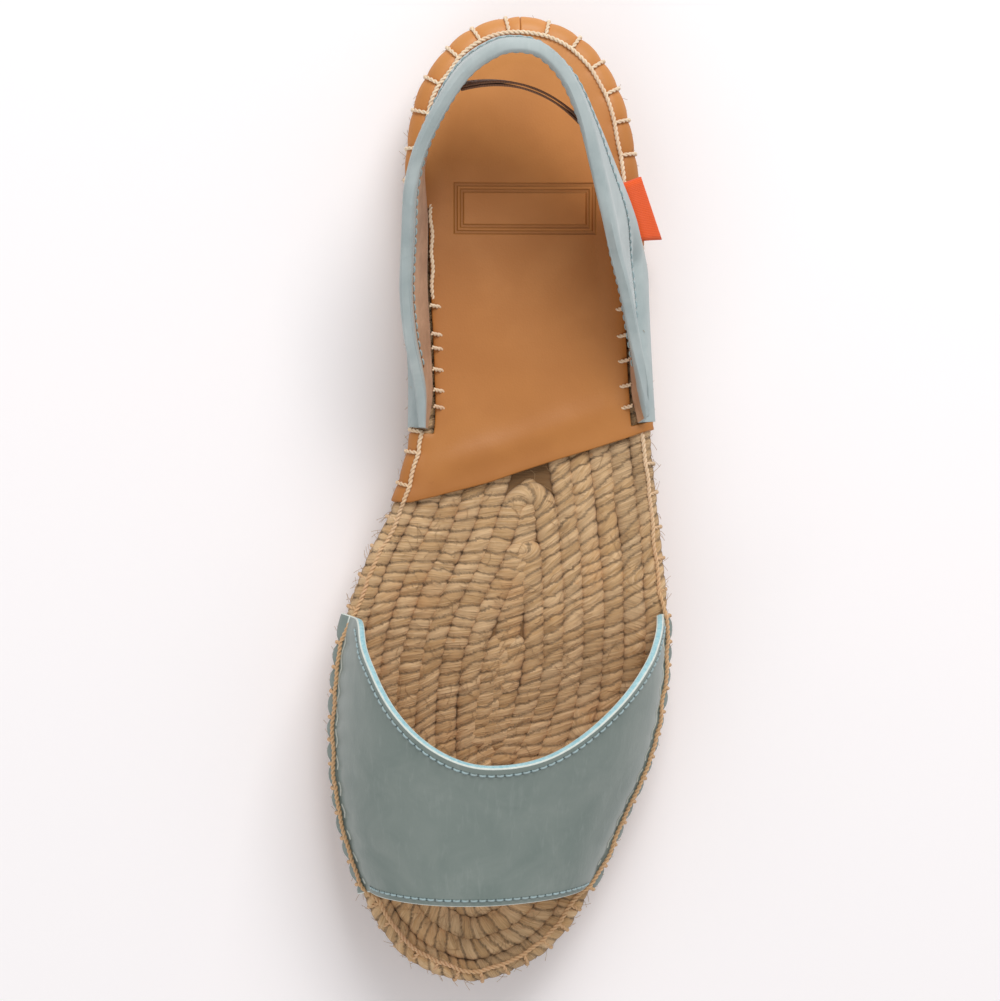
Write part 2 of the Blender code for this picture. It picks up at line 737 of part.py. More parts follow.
def make_side_tab():
    """The folded ribbon that sticks out under the strap's lower edge on the outer side, swept
    a little to the heel."""
    half = TAB_THICK / 2
    seat = STRAP_THICK / 2 + 1.2 * GAP + half
    sweep = math.radians(TAB_SWEEP)
    ends = []
    for section, _, normal in strap_frames(*TAB_ROWS, 2):
        low, top = section[0], section[-1]
        up = (top - low) / np.linalg.norm(top - low)
        out = np.array([normal[0], normal[1], 0.0])
        out /= np.linalg.norm(out)
        away = np.array(
            [
                out[0] * math.cos(sweep) - out[1] * math.sin(sweep),
                out[0] * math.sin(sweep) + out[1] * math.cos(sweep),
                -TAB_DROOP / TAB_REACH,
            ]
        )
        under = low - up * TAB_SEAM * 0.6
        ends.append(
            np.array(
                [
                    low + up * TAB_SEAM - normal * seat,
                    low + up * TAB_SEAM * 0.27 - normal * seat,
                    low - up * TAB_SEAM * 0.4 - normal * seat * 0.6,
                    under + away * TAB_REACH * 0.14,
                    under + away * TAB_REACH * 0.55,
                    under + away * TAB_REACH,
                ]
            )
        )
    shares = np.linspace(0, 1, TAB_STATIONS)
    grid = [ends[0] * (1 - share) + ends[1] * share for share in shares]
    thick = [[half] * len(grid[0])] * len(grid)
    return sheet_solid("side_tab", grid, thick, "orange_ribbon")


def main():
    for old in list(bpy.data.objects):
        bpy.data.objects.remove(old)
    make_outsole()
    make_jute_sole()
    make_insole()
    make_vamp()
    make_heel_strap()
    make_heel_elastic()
    make_side_tab()


main()
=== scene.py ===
"""Looks of the left avarca sandal: plaited jute sole, tan insole, blue nubuck vamp and heel sling.

Metres, +Z up, toe to -Y, outer side to +X. Lengths named in millimetres are times MM.
"""

import json
import math
from collections import namedtuple

import bmesh
import bpy
import numpy as np
from mathutils import Matrix, Vector

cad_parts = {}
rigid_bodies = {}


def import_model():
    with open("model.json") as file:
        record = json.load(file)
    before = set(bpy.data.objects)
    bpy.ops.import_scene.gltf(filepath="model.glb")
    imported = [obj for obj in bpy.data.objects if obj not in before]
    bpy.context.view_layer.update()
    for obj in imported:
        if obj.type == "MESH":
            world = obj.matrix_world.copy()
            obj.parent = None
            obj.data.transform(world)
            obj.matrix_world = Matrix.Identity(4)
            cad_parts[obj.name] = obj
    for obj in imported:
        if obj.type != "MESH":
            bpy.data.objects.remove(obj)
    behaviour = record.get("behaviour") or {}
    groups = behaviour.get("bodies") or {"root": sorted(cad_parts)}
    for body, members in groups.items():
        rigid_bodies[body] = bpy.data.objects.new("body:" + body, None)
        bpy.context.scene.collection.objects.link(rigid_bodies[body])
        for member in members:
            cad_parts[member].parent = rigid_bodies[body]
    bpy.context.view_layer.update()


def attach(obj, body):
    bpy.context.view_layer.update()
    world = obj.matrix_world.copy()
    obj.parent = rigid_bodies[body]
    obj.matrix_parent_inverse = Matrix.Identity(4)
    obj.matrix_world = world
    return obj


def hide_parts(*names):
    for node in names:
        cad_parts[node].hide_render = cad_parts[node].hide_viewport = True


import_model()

MM = 0.001
rng = np.random.default_rng(38)

# Sole, as in the solids
SOLE_LENGTH = 250.6 * MM
BALL_WIDTH = 87.6 * MM
HALF_WIDTH = BALL_WIDTH / 2
OUTSOLE_THICK = 4.0 * MM
JUTE_HEIGHT = 18.0 * MM
TOE_SPRING = 5.0 * MM
SPRING_FROM = 0.72
SHOULDER_OUT = 3.0 * MM
SHOULDER_DROP = 5.0 * MM
DISH_DEPTH = 1.2 * MM
DISH_REACH = 20.0 * MM
SPINE_END = 30.0 * MM
GAP = 0.3 * MM
SOLE_TOP = OUTSOLE_THICK + GAP + JUTE_HEIGHT

Breadth = namedtuple("Breadth", "place medial lateral")
HEEL_END = 0.116
TOE_END = -0.169
OUTLINE = [
    Breadth(0.010, 0.14, 0.36),
    Breadth(0.035, 0.324, 0.557),
    Breadth(0.080, 0.482, 0.708),
    Breadth(0.150, 0.550, 0.797),
    Breadth(0.250, 0.550, 0.847),
    Breadth(0.360, 0.523, 0.879),
    Breadth(0.430, 0.525, 0.904),
    Breadth(0.500, 0.632, 0.947),
    Breadth(0.560, 0.799, 0.982),
    Breadth(0.630, 0.936, 1.000),
    Breadth(0.700, 0.993, 0.979),
    Breadth(0.770, 1.000, 0.888),
    Breadth(0.830, 0.954, 0.737),
    Breadth(0.860, 0.912, 0.662),
    Breadth(0.890, 0.856, 0.578),
    Breadth(0.920, 0.790, 0.493),
    Breadth(0.950, 0.690, 0.384),
    Breadth(0.980, 0.507, 0.178),
]
MEDIAL, LATERAL = -1, 1

# Jute
FIRST_RUN = 3.2 * MM
RUN_PITCH = 5.3 * MM
RUNS = 7
RUN_WIDTH = 5.9 * MM
RUN_HEIGHT = 2.5 * MM
RUN_STEP = 0.40 * MM
LUMP_LENGTH = 3.1 * MM
LUMP_DEPTH = 0.95 * MM
LUMP_SLANT = 0.50
PLAIT_PERIOD = 24.0 * MM
PLAIT_MIDDLE = 12.7 * MM
PLAIT_REACH = 6.9 * MM
PLAIT_WEAVE = 1.15 * MM
PLAIT_YARN = 1.32 * MM
PLAIT_INSET = 2.45 * MM
# where the two innermost turns bend back: y, and the least half gap between their arms
BENDS = {5: (-2.0 * MM, 4.5 * MM), 6: (-14.0 * MM, 2.5 * MM)}

# Insole
INSOLE_THICK = 1.5 * MM
INSOLE_FRONT = {MEDIAL: 0.502, LATERAL: 0.430}

# Vamp
VAMP_THICK = 1.8 * MM
VAMP_MARGIN_THICK = 1.1 * MM
VAMP_MARGIN = 5.2 * MM
VAMP_INSET = 1.6 * MM
VAMP_HORN = 0.618
VAMP_TOE = {MEDIAL: 0.907, LATERAL: 0.903}
VAMP_TOE_MIDDLE = 0.914
THROAT_DEPTH = 0.148
INSTEP_HEIGHT = 44.0 * MM
TOE_BOX_HEIGHT = 23.5 * MM
VAMP_SQUARENESS = 2.25
THROAT = [
    (0.00, 0.00),
    (0.05, 0.22),
    (0.16, 0.60),
    (0.30, 0.87),
    (0.46, 1.00),
    (0.62, 0.94),
    (0.78, 0.69),
    (0.92, 0.32),
    (1.00, 0.00),
]

# Heel strap
STRAP_THICK = 2.4 * MM
STRAP_MARGIN_THICK = 1.1 * MM
STRAP_MARGIN = 5.0 * MM
STRAP_HEIGHT = 53.2 * MM
STRAP_ROLL = 3.8 * MM
TIP_HEIGHT = 8.5 * MM
StrapRow = namedtuple("StrapRow", "top_x top_y top_z low_x low_y low_z foot inset")
STRAP = [
    StrapRow(-0.474, 0.152, 0.105, 0, 0, 0, 0.4240, 3.0),
    StrapRow(-0.494, 0.239, 0.210, 0, 0, 0, 0.3850, 3.8),
    StrapRow(-0.559, 0.339, 0.361, 0, 0, 0, 0.3350, 3.8),
    StrapRow(-0.584, 0.451, 0.502, 0, 0, 0, 0.2750, 3.8),
    StrapRow(-0.579, 0.582, 0.662, 0, 0, 0, 0.2080, 4.0),
    StrapRow(-0.533, 0.675, 0.765, -0.474, 0.694, 0.150, 0, 0),
    StrapRow(-0.422, 0.762, 0.868, -0.406, 0.792, 0.360, 0, 0),
    StrapRow(-0.262, 0.845, 0.934, -0.267, 0.879, 0.490, 0, 0),
    StrapRow(-0.086, 0.890, 0.985, -0.094, 0.922, 0.540, 0, 0),
    StrapRow(0.041, 0.899, 1.000, 0.031, 0.932, 0.550, 0, 0),
    StrapRow(0.174, 0.889, 0.985, 0.182, 0.921, 0.538, 0, 0),
    StrapRow(0.308, 0.845, 0.934, 0.390, 0.857, 0.498, 0, 0),
    StrapRow(0.418, 0.766, 0.859, 0.533, 0.766, 0.400, 0, 0),
    StrapRow(0.490, 0.675, 0.765, 0.664, 0.671, 0.270, 0, 0),
    StrapRow(0.560, 0.582, 0.671, 0.785, 0.579, 0.120, 0, 0),
    StrapRow(0.621, 0.506, 0.568, 0, 0, 0, 0.2560, 4.0),
    StrapRow(0.692, 0.427, 0.470, 0, 0, 0, 0.2960, 3.8),
    StrapRow(0.759, 0.337, 0.350, 0, 0, 0, 0.3400, 3.7),
    StrapRow(0.832, 0.246, 0.220, 0, 0, 0, 0.3840, 3.6),
    StrapRow(0.871, 0.176, 0.105, 0, 0, 0, 0.4180, 3.0),
]
STRAP_SPANS = 10
ROLL_DROPS = (2.1, 1.4, 0.75, 0.26, 0.0)
ROLL_SWELL = (0.05, 0.45, 1.0, 0.62, -0.60)
ELASTIC_ROWS = (6.7, 12.0)
ELASTIC_BOW = 4.6 * MM
TAB_ROWS = (13.15, 14.35)


# Shapes


def smooth_step(x):
    x = np.clip(x, 0.0, 1.0)
    return x * x * (3 - 2 * x)


def wobble(x, step, seed):
    """Smooth random swings between -1 and 1, about one in each step of x."""
    values = np.random.default_rng(seed).uniform(-1, 1, 4096)
    at = np.asarray(x) / step + 1000
    low = np.floor(at).astype(int)
    share = smooth_step(at - low)
    return values[low % 4096] * (1 - share) + values[(low + 1) % 4096] * share


def smooth_curve(points, samples, closed=False, even=False):
    """A smooth curve through the points, with equal samples on each span. An even curve never
    runs past the values of its points."""
    p = np.array(points, float)
    n = len(p)
    if closed:
        p = np.vstack([p[-1:], p, p[:2]])
    else:
        p = np.vstack([2 * p[0] - p[1], p, 2 * p[-1] - p[-2]])
    chord = np.linalg.norm(np.diff(p, axis=0), axis=1) ** 0.5
    t = np.concatenate([[0.0], np.cumsum(chord)])
    slope = (p[2:] - p[:-2]) / (t[2:] - t[:-2])[:, None]
    if even:
        steep = np.diff(p, axis=0) / np.diff(t)[:, None]
        level = steep[1:] * steep[:-1] <= 0
        limit = 3 * np.minimum(np.abs(steep[1:]), np.abs(steep[:-1]))
        slope = np.where(level, 0.0, np.clip(slope, -limit, limit))
    out = []
    for i in range(n if closed else n - 1):
        h = t[i + 2] - t[i + 1]
        for u in np.arange(samples) / samples:
            out.append(
                (1 + 2 * u) * (1 - u) ** 2 * p[i + 1]
                + u * (1 - u) ** 2 * h * slope[i]
                + u * u * (3 - 2 * u) * p[i + 2]
                + u * u * (u - 1) * h * slope[i + 1]
            )
    if not closed:
        out.append(p[-2])
    return np.array(out)


def unit(v):
    v = np.asarray(v, float)
    return v / np.maximum(np.linalg.norm(v, axis=-1, keepdims=True), 1e-12)


def lengths(path):
    """How far along a path each of its points is."""
    steps = np.linalg.norm(np.diff(path, axis=0), axis=1)
    return np.concatenate([[0.0], np.cumsum(steps)])


def evenly(path, step):
    """The path with its points about step apart."""
    along = lengths(path)
    count = max(2, int(round(along[-1] / step)) + 1)
    at = np.linspace(0, along[-1], count)
    return np.stack([np.interp(at, along, path[:, k]) for k in range(path.shape[1])], axis=1)


class Rim:
    """The sole's widest outline, read by the distance round it from the heel end. The distance
    grows along the medial side to the toe, then back along the lateral side."""

    def __init__(self):
        points = [(HALF_WIDTH * HEEL_END, SOLE_LENGTH / 2)]
        points += [(-HALF_WIDTH * b.medial, SOLE_LENGTH * (0.5 - b.place)) for b in OUTLINE]
        points += [(HALF_WIDTH * TOE_END, -SOLE_LENGTH / 2)]
        points += [
            (HALF_WIDTH * b.lateral, SOLE_LENGTH * (0.5 - b.place)) for b in reversed(OUTLINE)
        ]
        curve = smooth_curve(points, 24, closed=True)
        curve = np.roll(curve, -int(np.argmax(curve[:, 1])), axis=0)
        low, high = curve.min(axis=0), curve.max(axis=0)
        curve = (curve - (low + high) / 2) * np.array([BALL_WIDTH, SOLE_LENGTH]) / (high - low)
        tangent = unit(np.roll(curve, -1, axis=0) - np.roll(curve, 1, axis=0))
        self.curve = np.vstack([curve, curve[:1]])
        self.inward = np.stack([-tangent[:, 1], tangent[:, 0]], axis=1)
        self.inward = np.vstack([self.inward, self.inward[:1]])
        self.along = lengths(self.curve)
        self.round = self.along[-1]
        self.toe = int(np.argmin(self.curve[:, 1]))

    def at(self, distance, inset=0.0):
        """Plan points at those distances round the outline, moved inwards."""
        d = np.mod(distance, self.round)
        point = [np.interp(d, self.along, self.curve[:, k]) for k in (0, 1)]
        inward = unit(
            np.stack([np.interp(d, self.along, self.inward[:, k]) for k in (0, 1)], axis=-1)
        )
        return np.stack(point, axis=-1) + inward * np.asarray(inset)[..., None], inward

    def find(self, side, place):
        """The distance round the outline to a share of the length on one side."""
        if side == MEDIAL:
            rows = slice(0, self.toe + 1)
            places = 0.5 - self.curve[rows, 1] / SOLE_LENGTH
            return np.interp(place, places, self.along[rows])
        rows = slice(self.toe, None)
        places = 0.5 - self.curve[rows, 1] / SOLE_LENGTH
        return np.interp(place, places[::-1], self.along[rows][::-1])

    def depth(self, plan):
        """How far each plan point is from the outline."""
        plan = np.atleast_2d(plan)
        out = np.empty(len(plan))
        for i in range(0, len(plan), 2000):
            gap = plan[i : i + 2000, None, :] - self.curve[None, :, :]
            out[i : i + 2000] = np.sqrt((gap**2).sum(axis=2).min(axis=1))
        return out


rim = Rim()
SHOULDER_ARC = math.pi / 2 * math.sqrt((SHOULDER_OUT**2 + SHOULDER_DROP**2) / 2)


def rise(y):
    place = 0.5 - np.asarray(y) / SOLE_LENGTH
    return TOE_SPRING * np.maximum(0.0, (place - SPRING_FROM) / (1 - SPRING_FROM)) ** 2


def bed(plan, out=0.0, depth=None):
    """Points over the top of the sole, at a height of out above the jute."""
    plan = np.atleast_2d(plan)
    depth = rim.depth(plan) if depth is None else depth
    dish = DISH_DEPTH * smooth_step((depth - SHOULDER_OUT) / DISH_REACH)
    z = SOLE_TOP + rise(plan[:, 1]) - dish + out
    return np.column_stack([plan, z])


def over_edge(distance, travel, out):
    """Points that lie out above the sole's top, its rounded shoulder and its side. Travel is
    counted outwards from where the shoulder starts."""
    distance, travel, out = np.broadcast_arrays(
        np.atleast_1d(np.asarray(distance, float)), np.asarray(travel, float), np.asarray(out, float)
    )
    turn = np.clip(travel / SHOULDER_ARC, 0, 1) * math.pi / 2
    flat = np.minimum(travel, 0.0)
    inset = SHOULDER_OUT - flat - (SHOULDER_OUT + out) * np.sin(turn)
    plan, _ = rim.at(distance, inset)
    top = SOLE_TOP + rise(rim.at(distance)[0][..., 1])
    z = top - SHOULDER_DROP + (SHOULDER_DROP + out) * np.cos(turn)
    z = z - np.maximum(travel - SHOULDER_ARC, 0.0)
    return np.concatenate([plan, z[..., None]], axis=-1)


def spine_point(y):
    """The middle of the sole at y, held clear of the round ends."""
    reach = SOLE_LENGTH / 2 - SPINE_END
    place = 0.5 - np.clip(y, -reach, reach) / SOLE_LENGTH
    ends = [rim.at(rim.find(side, place))[0] for side in (MEDIAL, LATERAL)]
    return (ends[0] + ends[1]) / 2


# Meshes


def lay_grid(points, uv, shade=None, tone=None, keep=None):
    """A grid mesh laid on rows of points, with its UV map, and a shade and a tone for each
    vertex."""
    rows, columns = points.shape[:2]
    bm = bmesh.new()
    bmesh.ops.create_grid(bm, x_segments=rows - 1, y_segments=columns - 1, size=0.5)
    if keep is not None:
        cut = []
        for face in bm.faces:
            middle = face.calc_center_median()
            cell = int((middle.x + 0.5) * (rows - 1)), int((middle.y + 0.5) * (columns - 1))
            if not keep[cell]:
                cut.append(face)
        bmesh.ops.delete(bm, geom=cut, context="FACES")
    mesh = bpy.data.meshes.new("grid")
    bm.to_mesh(mesh)
    bm.free()
    flat = np.empty(len(mesh.vertices) * 3, np.float32)
    mesh.vertices.foreach_get("co", flat)
    flat = flat.reshape(-1, 3)
    i = np.rint((flat[:, 0] + 0.5) * (rows - 1)).astype(int)
    j = np.rint((flat[:, 1] + 0.5) * (columns - 1)).astype(int)
    mesh.vertices.foreach_set("co", points[i, j].astype(np.float32).ravel())
    corners = np.empty(len(mesh.loops), np.int32)
    mesh.loops.foreach_get("vertex_index", corners)
    layer = mesh.uv_layers.new(name="UVMap")
    layer.data.foreach_set("uv", uv[i[corners], j[corners]].astype(np.float32).ravel())
    for name, table in (("groove", shade), ("tone", tone)):
        values = np.zeros(len(i)) if table is None else table[i, j]
        layer = mesh.attributes.new(name, "FLOAT", "POINT")
        layer.data.foreach_set("value", values.astype(np.float32))
    return mesh


def tube(path, radius, reference, sides=6, flat=1.0, twist=0.0):
    """A closed tube mesh along a path. The reference is a direction across it. UV runs along
    and round it, one unit to a centimetre."""
    path = np.asarray(path, float)
    tangent = unit(np.gradient(path, axis=0))
    reference = np.broadcast_to(reference, path.shape)
    across = unit(reference - tangent * (reference * tangent).sum(axis=1, keepdims=True))
    beside = np.cross(tangent, across)
    turn = np.linspace(0, 2 * math.pi, sides + 1)
    radius = np.broadcast_to(radius, len(path))[:, None, None]
    ring = (
        np.cos(turn)[None, :, None] * across[:, None, :] * flat
        + np.sin(turn)[None, :, None] * beside[:, None, :]
    )
    points = path[:, None, :] + ring * radius
    points[:, -1] = points[:, 0]
    along = lengths(path)
    uv = np.stack(
        [
            np.broadcast_to(along[:, None] / (10 * MM), (len(path), sides + 1)),
            np.broadcast_to(turn[None, :] * radius[:, :, 0] / (10 * MM), (len(path), sides + 1))
            + along[:, None] * twist,
        ],
        axis=2,
    )
    return lay_grid(points, uv)


def merged(meshes, merge=0.5e-6, fill=0, outward=True):
    """One bmesh of several meshes, with seams closed and small open ends filled."""
    bm = bmesh.new()
    for mesh in meshes:
        bm.from_mesh(mesh)
        bpy.data.meshes.remove(mesh)
    bmesh.ops.remove_doubles(bm, verts=bm.verts, dist=merge)
    if fill:
        open_edges = [e for e in bm.edges if e.is_boundary]
        bmesh.ops.holes_fill(bm, edges=open_edges, sides=fill)
    if outward:
        bmesh.ops.recalc_face_normals(bm, faces=bm.faces)
    return bm


def finish_piece(name, bm, materials, node=None, smooth=60):
    """The finished piece: an object at the origin that rides on the shoe."""
    mesh = bpy.data.meshes.new(name)
    bm.to_mesh(mesh)
    bm.free()
    mesh.shade_smooth()
    if smooth:
        mesh.set_sharp_from_angle(angle=math.radians(smooth))
    for material in materials:
        mesh.materials.append(material)
    piece = bpy.data.objects.new(name, mesh)
    bpy.context.scene.collection.objects.link(piece)
    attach(piece, "root")
    if node:
        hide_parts(node)
    return piece


def add_modifier(piece, kind, **settings):
    modifier = piece.modifiers.new(kind.title(), kind)
    for key, value in settings.items():
        setattr(modifier, key, value)
    return modifier


# Materials


def colour(code):
    """An sRGB hex colour turned to linear."""
    parts = [int(code[i : i + 2], 16) / 255 for i in (1, 3, 5)]
    linear = [c / 12.92 if c <= 0.04045 else ((c + 0.055) / 1.055) ** 2.4 for c in parts]
    return (*linear, 1.0)


def add_node(tree, kind, inputs=(), output=0, ramp=(), **settings):
    """Adds a node and gives back one of its outputs. Each input takes a value, a hex colour or
    the output that feeds it."""
    node = tree.nodes.new("ShaderNode" + kind)
    for key, value in settings.items():
        setattr(node, key, value)
    for key, value in dict(inputs).items():
        if isinstance(value, bpy.types.NodeSocket):
            tree.links.new(value, node.inputs[key])
        else:
            node.inputs[key].default_value = colour(value) if isinstance(value, str) else value
    for number, (place, code) in enumerate(ramp):
        stops = node.color_ramp.elements
        stop = stops[number] if number < 2 else stops.new(place)
        stop.position = place
        stop.color = colour(code)
    return node.outputs[output]


def new_material(name, **sockets):
    """A material with its shader's own sockets set."""
    made = bpy.data.materials.new(name)
    made.use_nodes = True
    shader = made.node_tree.nodes["Principled BSDF"]
    for key, value in sockets.items():
        shader.inputs[key.replace("_", " ")].default_value = value
    return made, made.node_tree, shader


MIX_A, MIX_B, MIX_OUT = 6, 7, 2


def paint(tree, base, layers, relief=(), strength=1.0, depth=0.0):
    """Lays colours over a base, each from nothing where its pattern is at the first value to
    its full share where it is at the second. The relief's patterns are added up and raised."""
    shader = tree.nodes["Principled BSDF"]
    for pattern, low, high, most, code in layers:
        share = add_node(tree, "MapRange", {0: pattern, 1: low, 2: high, 3: 0.0, 4: most})
        inputs = {0: share, MIX_A: base, MIX_B: code}
        base = add_node(tree, "Mix", inputs, MIX_OUT, data_type="RGBA")
    tree.links.new(base, shader.inputs["Base Color"])
    if not relief:
        return None
    height = relief[0]
    for more in relief[1:]:
        height = add_node(tree, "Math", {0: height, 1: more}, operation="ADD")
    bump = add_node(tree, "Bump", {"Height": height, "Strength": strength, "Distance": depth})
    tree.links.new(bump, shader.inputs["Normal"])
    return bump


def jute_fibre(name, light, dark, warm, groove):
    """Undyed jute yarn, loosely spun: long dull fibres that lie side by side, with warm patches,
    and painted shade: the groove colour laid in the hollows between the lumps and yarns, so the crowns
    read paler. The UV map runs along the fibres."""
    made, tree, _ = new_material(name, Roughness=0.92, Sheen_Weight=0.12, Sheen_Roughness=0.6)
    spot = add_node(tree, "TexCoord", output="Object")
    lay = add_node(tree, "TexCoord", output="UV")
    # fibres 0.35 mm apart, drawn 8 mm long
    along = add_node(tree, "Mapping", {"Vector": lay, "Scale": (1.3, 28.0, 1.0)})
    inputs = {"Vector": along, "Scale": 1.0, "Detail": 4.0, "Roughness": 0.65, "Distortion": 0.35}
    fibre = add_node(tree, "TexNoise", inputs)
    along = add_node(tree, "Mapping", {"Vector": lay, "Scale": (0.9, 9.0, 1.0)})
    inputs = {"Vector": along, "Scale": 1.0, "Detail": 3.0, "Roughness": 0.6, "Distortion": 0.4}
    tuft = add_node(tree, "TexNoise", inputs)
    inputs = {"Vector": spot, "Scale": 1 / (14 * MM), "Detail": 2.0, "Roughness": 0.55}
    patch = add_node(tree, "TexNoise", inputs)
    speck = add_node(tree, "TexNoise", {**inputs, "Scale": 1 / (3.2 * MM)})
    tone = add_node(tree, "Attribute", output="Fac", attribute_name="tone")
    # painted shade: the groove attribute mixes the groove colour into the hollows between lumps and runs
    groove_shade = add_node(tree, "Attribute", output="Fac", attribute_name="groove")
    layers = [
        (fibre, 0.32, 0.68, 1.0, light),
        (tone, 0.62, 0.95, 0.55, light),
        (tone, 0.38, 0.10, 0.45, dark),
        (tuft, 0.62, 0.35, 0.30, groove),
        (patch, 0.56, 0.72, 0.45, warm),
        (speck, 0.70, 0.80, 0.55, "#c98a4a"),
        (groove_shade, 0.35, 1.0, 0.80, groove),
    ]
    paint(tree, dark, layers, (fibre, tuft), 1.0, 0.42 * MM)
    return made


def waxed_thread():
    """Two-ply cotton sewing thread, waxed: cream at the heel and browner to the toe. The UV map
    runs along it."""
    made, tree, _ = new_material("waxed_cotton_thread", Roughness=0.7, Sheen_Weight=0.1)
    spot = add_node(tree, "TexCoord", output="Object")
    lay = add_node(tree, "TexCoord", output="UV")
    along = add_node(tree, "Mapping", {"Vector": lay, "Scale": (3.0, 30.0, 1.0)})
    inputs = {"Vector": along, "Scale": 1.0, "Detail": 3.0, "Roughness": 0.6, "Distortion": 0.2}
    fibre = add_node(tree, "TexNoise", inputs)
    inputs = {"Vector": spot, "Scale": 1 / (11 * MM), "Detail": 2.0, "Roughness": 0.55}
    patch = add_node(tree, "TexNoise", inputs)
    place = add_node(tree, "SeparateXYZ", {0: spot}, "Y")
    layers = [
        (place, 45 * MM, -20 * MM, 1.0, "#d9b184"),
        (patch, 0.5, 0.75, 0.5, "#e0b493"),
        (fibre, 0.6, 0.3, 0.4, "#b58c62"),
    ]
    paint(tree, "#f6e4c8", layers, (fibre,), 0.6, 0.12 * MM)
    return made


def pressed_frame(tree, spot):
    """A bare frame of two rules, 36 by 12.5 mm, pressed into the leather: 1 on the rules."""
    off = []
    for axis, middle, half in (("X", 6.3 * MM, 18 * MM), ("Y", 76.0 * MM, 6.2 * MM)):
        value = add_node(tree, "SeparateXYZ", {0: spot}, axis)
        for operation, amount in (("SUBTRACT", middle), ("ABSOLUTE", 0.0), ("SUBTRACT", half)):
            value = add_node(tree, "Math", {0: value, 1: amount}, operation=operation)
        off.append(value)
    value = add_node(tree, "Math", {0: off[0], 1: off[1]}, operation="MAXIMUM")
    for operation, amount in (("ADD", 0.8 * MM), ("ABSOLUTE", 0.0), ("SUBTRACT", 0.8 * MM)):
        value = add_node(tree, "Math", {0: value, 1: amount}, operation=operation)
    value = add_node(tree, "Math", {0: value}, operation="ABSOLUTE")
    return add_node(tree, "MapRange", {0: value, 1: 0.22 * MM, 2: 0.62 * MM, 3: 1.0, 4: 0.0})


def veg_tan():
    """Vegetable-tanned cowhide, waxed and rubbed: warm tan with a soft sheen, a fine grain of
    0.5 mm, faint marks, and painted light along its length: lightest at the heel, darker through the
    middle and to the front."""
    made, tree, shader = new_material("vegetable_tanned_leather", Roughness=0.52)
    spot = add_node(tree, "TexCoord", output="Object")
    # painted light: the colour ramp along Y is brightest at the heel and darker toward the middle and
    # front, as the light falls from beyond the heel
    place = add_node(tree, "SeparateXYZ", {0: spot}, "Y")
    share = add_node(tree, "MapRange", {0: place, 1: -5 * MM, 2: 125 * MM})
    ramp = [
        (0.0, "#ab6c2f"),
        (0.25, "#b87736"),
        (0.55, "#ad6f31"),
        (0.80, "#c37f3e"),
        (1.0, "#d59251"),
    ]
    base = add_node(tree, "ValToRGB", {0: share}, ramp=ramp)
    inputs = {"Vector": spot, "Scale": 1 / (22 * MM), "Detail": 3.0, "Roughness": 0.55}
    cloud = add_node(tree, "TexNoise", inputs)
    inputs = {"Vector": spot, "Scale": 1 / (2.6 * MM), "Detail": 4.0, "Roughness": 0.7}
    mark = add_node(tree, "TexNoise", inputs)
    rules = pressed_frame(tree, spot)
    grain = add_node(tree, "TexVoronoi", {"Vector": spot, "Scale": 1 / (0.55 * MM)})
    layers = [
        (cloud, 0.42, 0.70, 0.28, "#a0622a"),
        (cloud, 0.50, 0.28, 0.20, "#cf8f4f"),
        (mark, 0.66, 0.76, 0.30, "#8f5622"),
        (rules, 0.0, 1.0, 0.40, "#8a5420"),
    ]
    bump = paint(tree, base, layers, (grain, mark), 0.16, 0.10 * MM)
    gloss = add_node(tree, "MapRange", {0: cloud, 1: 0.3, 2: 0.7, 3: 0.44, 4: 0.60})
    tree.links.new(gloss, shader.inputs["Roughness"])
    inputs = {"Height": rules, "Strength": 1.0, "Distance": 0.40 * MM, "Normal": bump}
    tree.links.new(add_node(tree, "Bump", inputs, invert=True), shader.inputs["Normal"])
    return made


def nubuck(name, body, light, dark, nap=1.0):
    """Brushed nubuck: matt, with a fine nap that clouds lighter and darker where it has been
    stroked, streaks 10 mm long, and small dull flecks."""
    made, tree, _ = new_material(name, Roughness=0.88, Sheen_Weight=0.22, Sheen_Roughness=0.45)
    spot = add_node(tree, "TexCoord", output="Object")
    inputs = {"Vector": spot, "Scale": 1 / (16 * MM), "Detail": 4.0, "Roughness": 0.6, "Distortion": 0.6}
    cloud = add_node(tree, "TexNoise", inputs)
    stretch = (1 / (1.3 * MM), 1 / (9 * MM), 1 / (4 * MM))
    inputs = {"Vector": spot, "Rotation": (0.2, 0.1, 0.7), "Scale": stretch}
    stroked = add_node(tree, "Mapping", inputs)
    inputs = {"Vector": stroked, "Scale": 1.0, "Detail": 3.0, "Roughness": 0.6, "Distortion": 0.5}
    streak = add_node(tree, "TexNoise", inputs)
    inputs = {"Vector": spot, "Scale": 1 / (0.8 * MM), "Detail": 3.0, "Roughness": 0.7}
    fleck = add_node(tree, "TexNoise", inputs)
    layers = [
        (cloud, 0.36, 0.66, 0.75, body),
        (streak, 0.55, 0.85, 0.30 * nap, light),
        (fleck, 0.62, 0.80, 0.35 * nap, dark),
    ]
    paint(tree, dark, layers, (fleck, streak), 0.30 * nap, 0.14 * MM)
    return made


def suede_lining():
    """Undyed pigskin lining, sueded: pinkish tan with open pores 1.2 mm apart."""
    made, tree, _ = new_material("pigskin_lining", Roughness=0.9, Sheen_Weight=0.15)
    spot = add_node(tree, "TexCoord", output="Object")
    inputs = {"Vector": spot, "Scale": 1 / (9 * MM), "Detail": 4.0, "Roughness": 0.65}
    cloud = add_node(tree, "TexNoise", inputs)
    pore = add_node(tree, "TexVoronoi", {"Vector": spot, "Scale": 1 / (1.2 * MM)})
    layers = [(cloud, 0.35, 0.68, 1.0, "#cfa580"), (pore, 0.16, 0.06, 0.6, "#8a5a42")]
    paint(tree, "#b08560", layers, (cloud,), 0.4, 0.2 * MM)
    return made


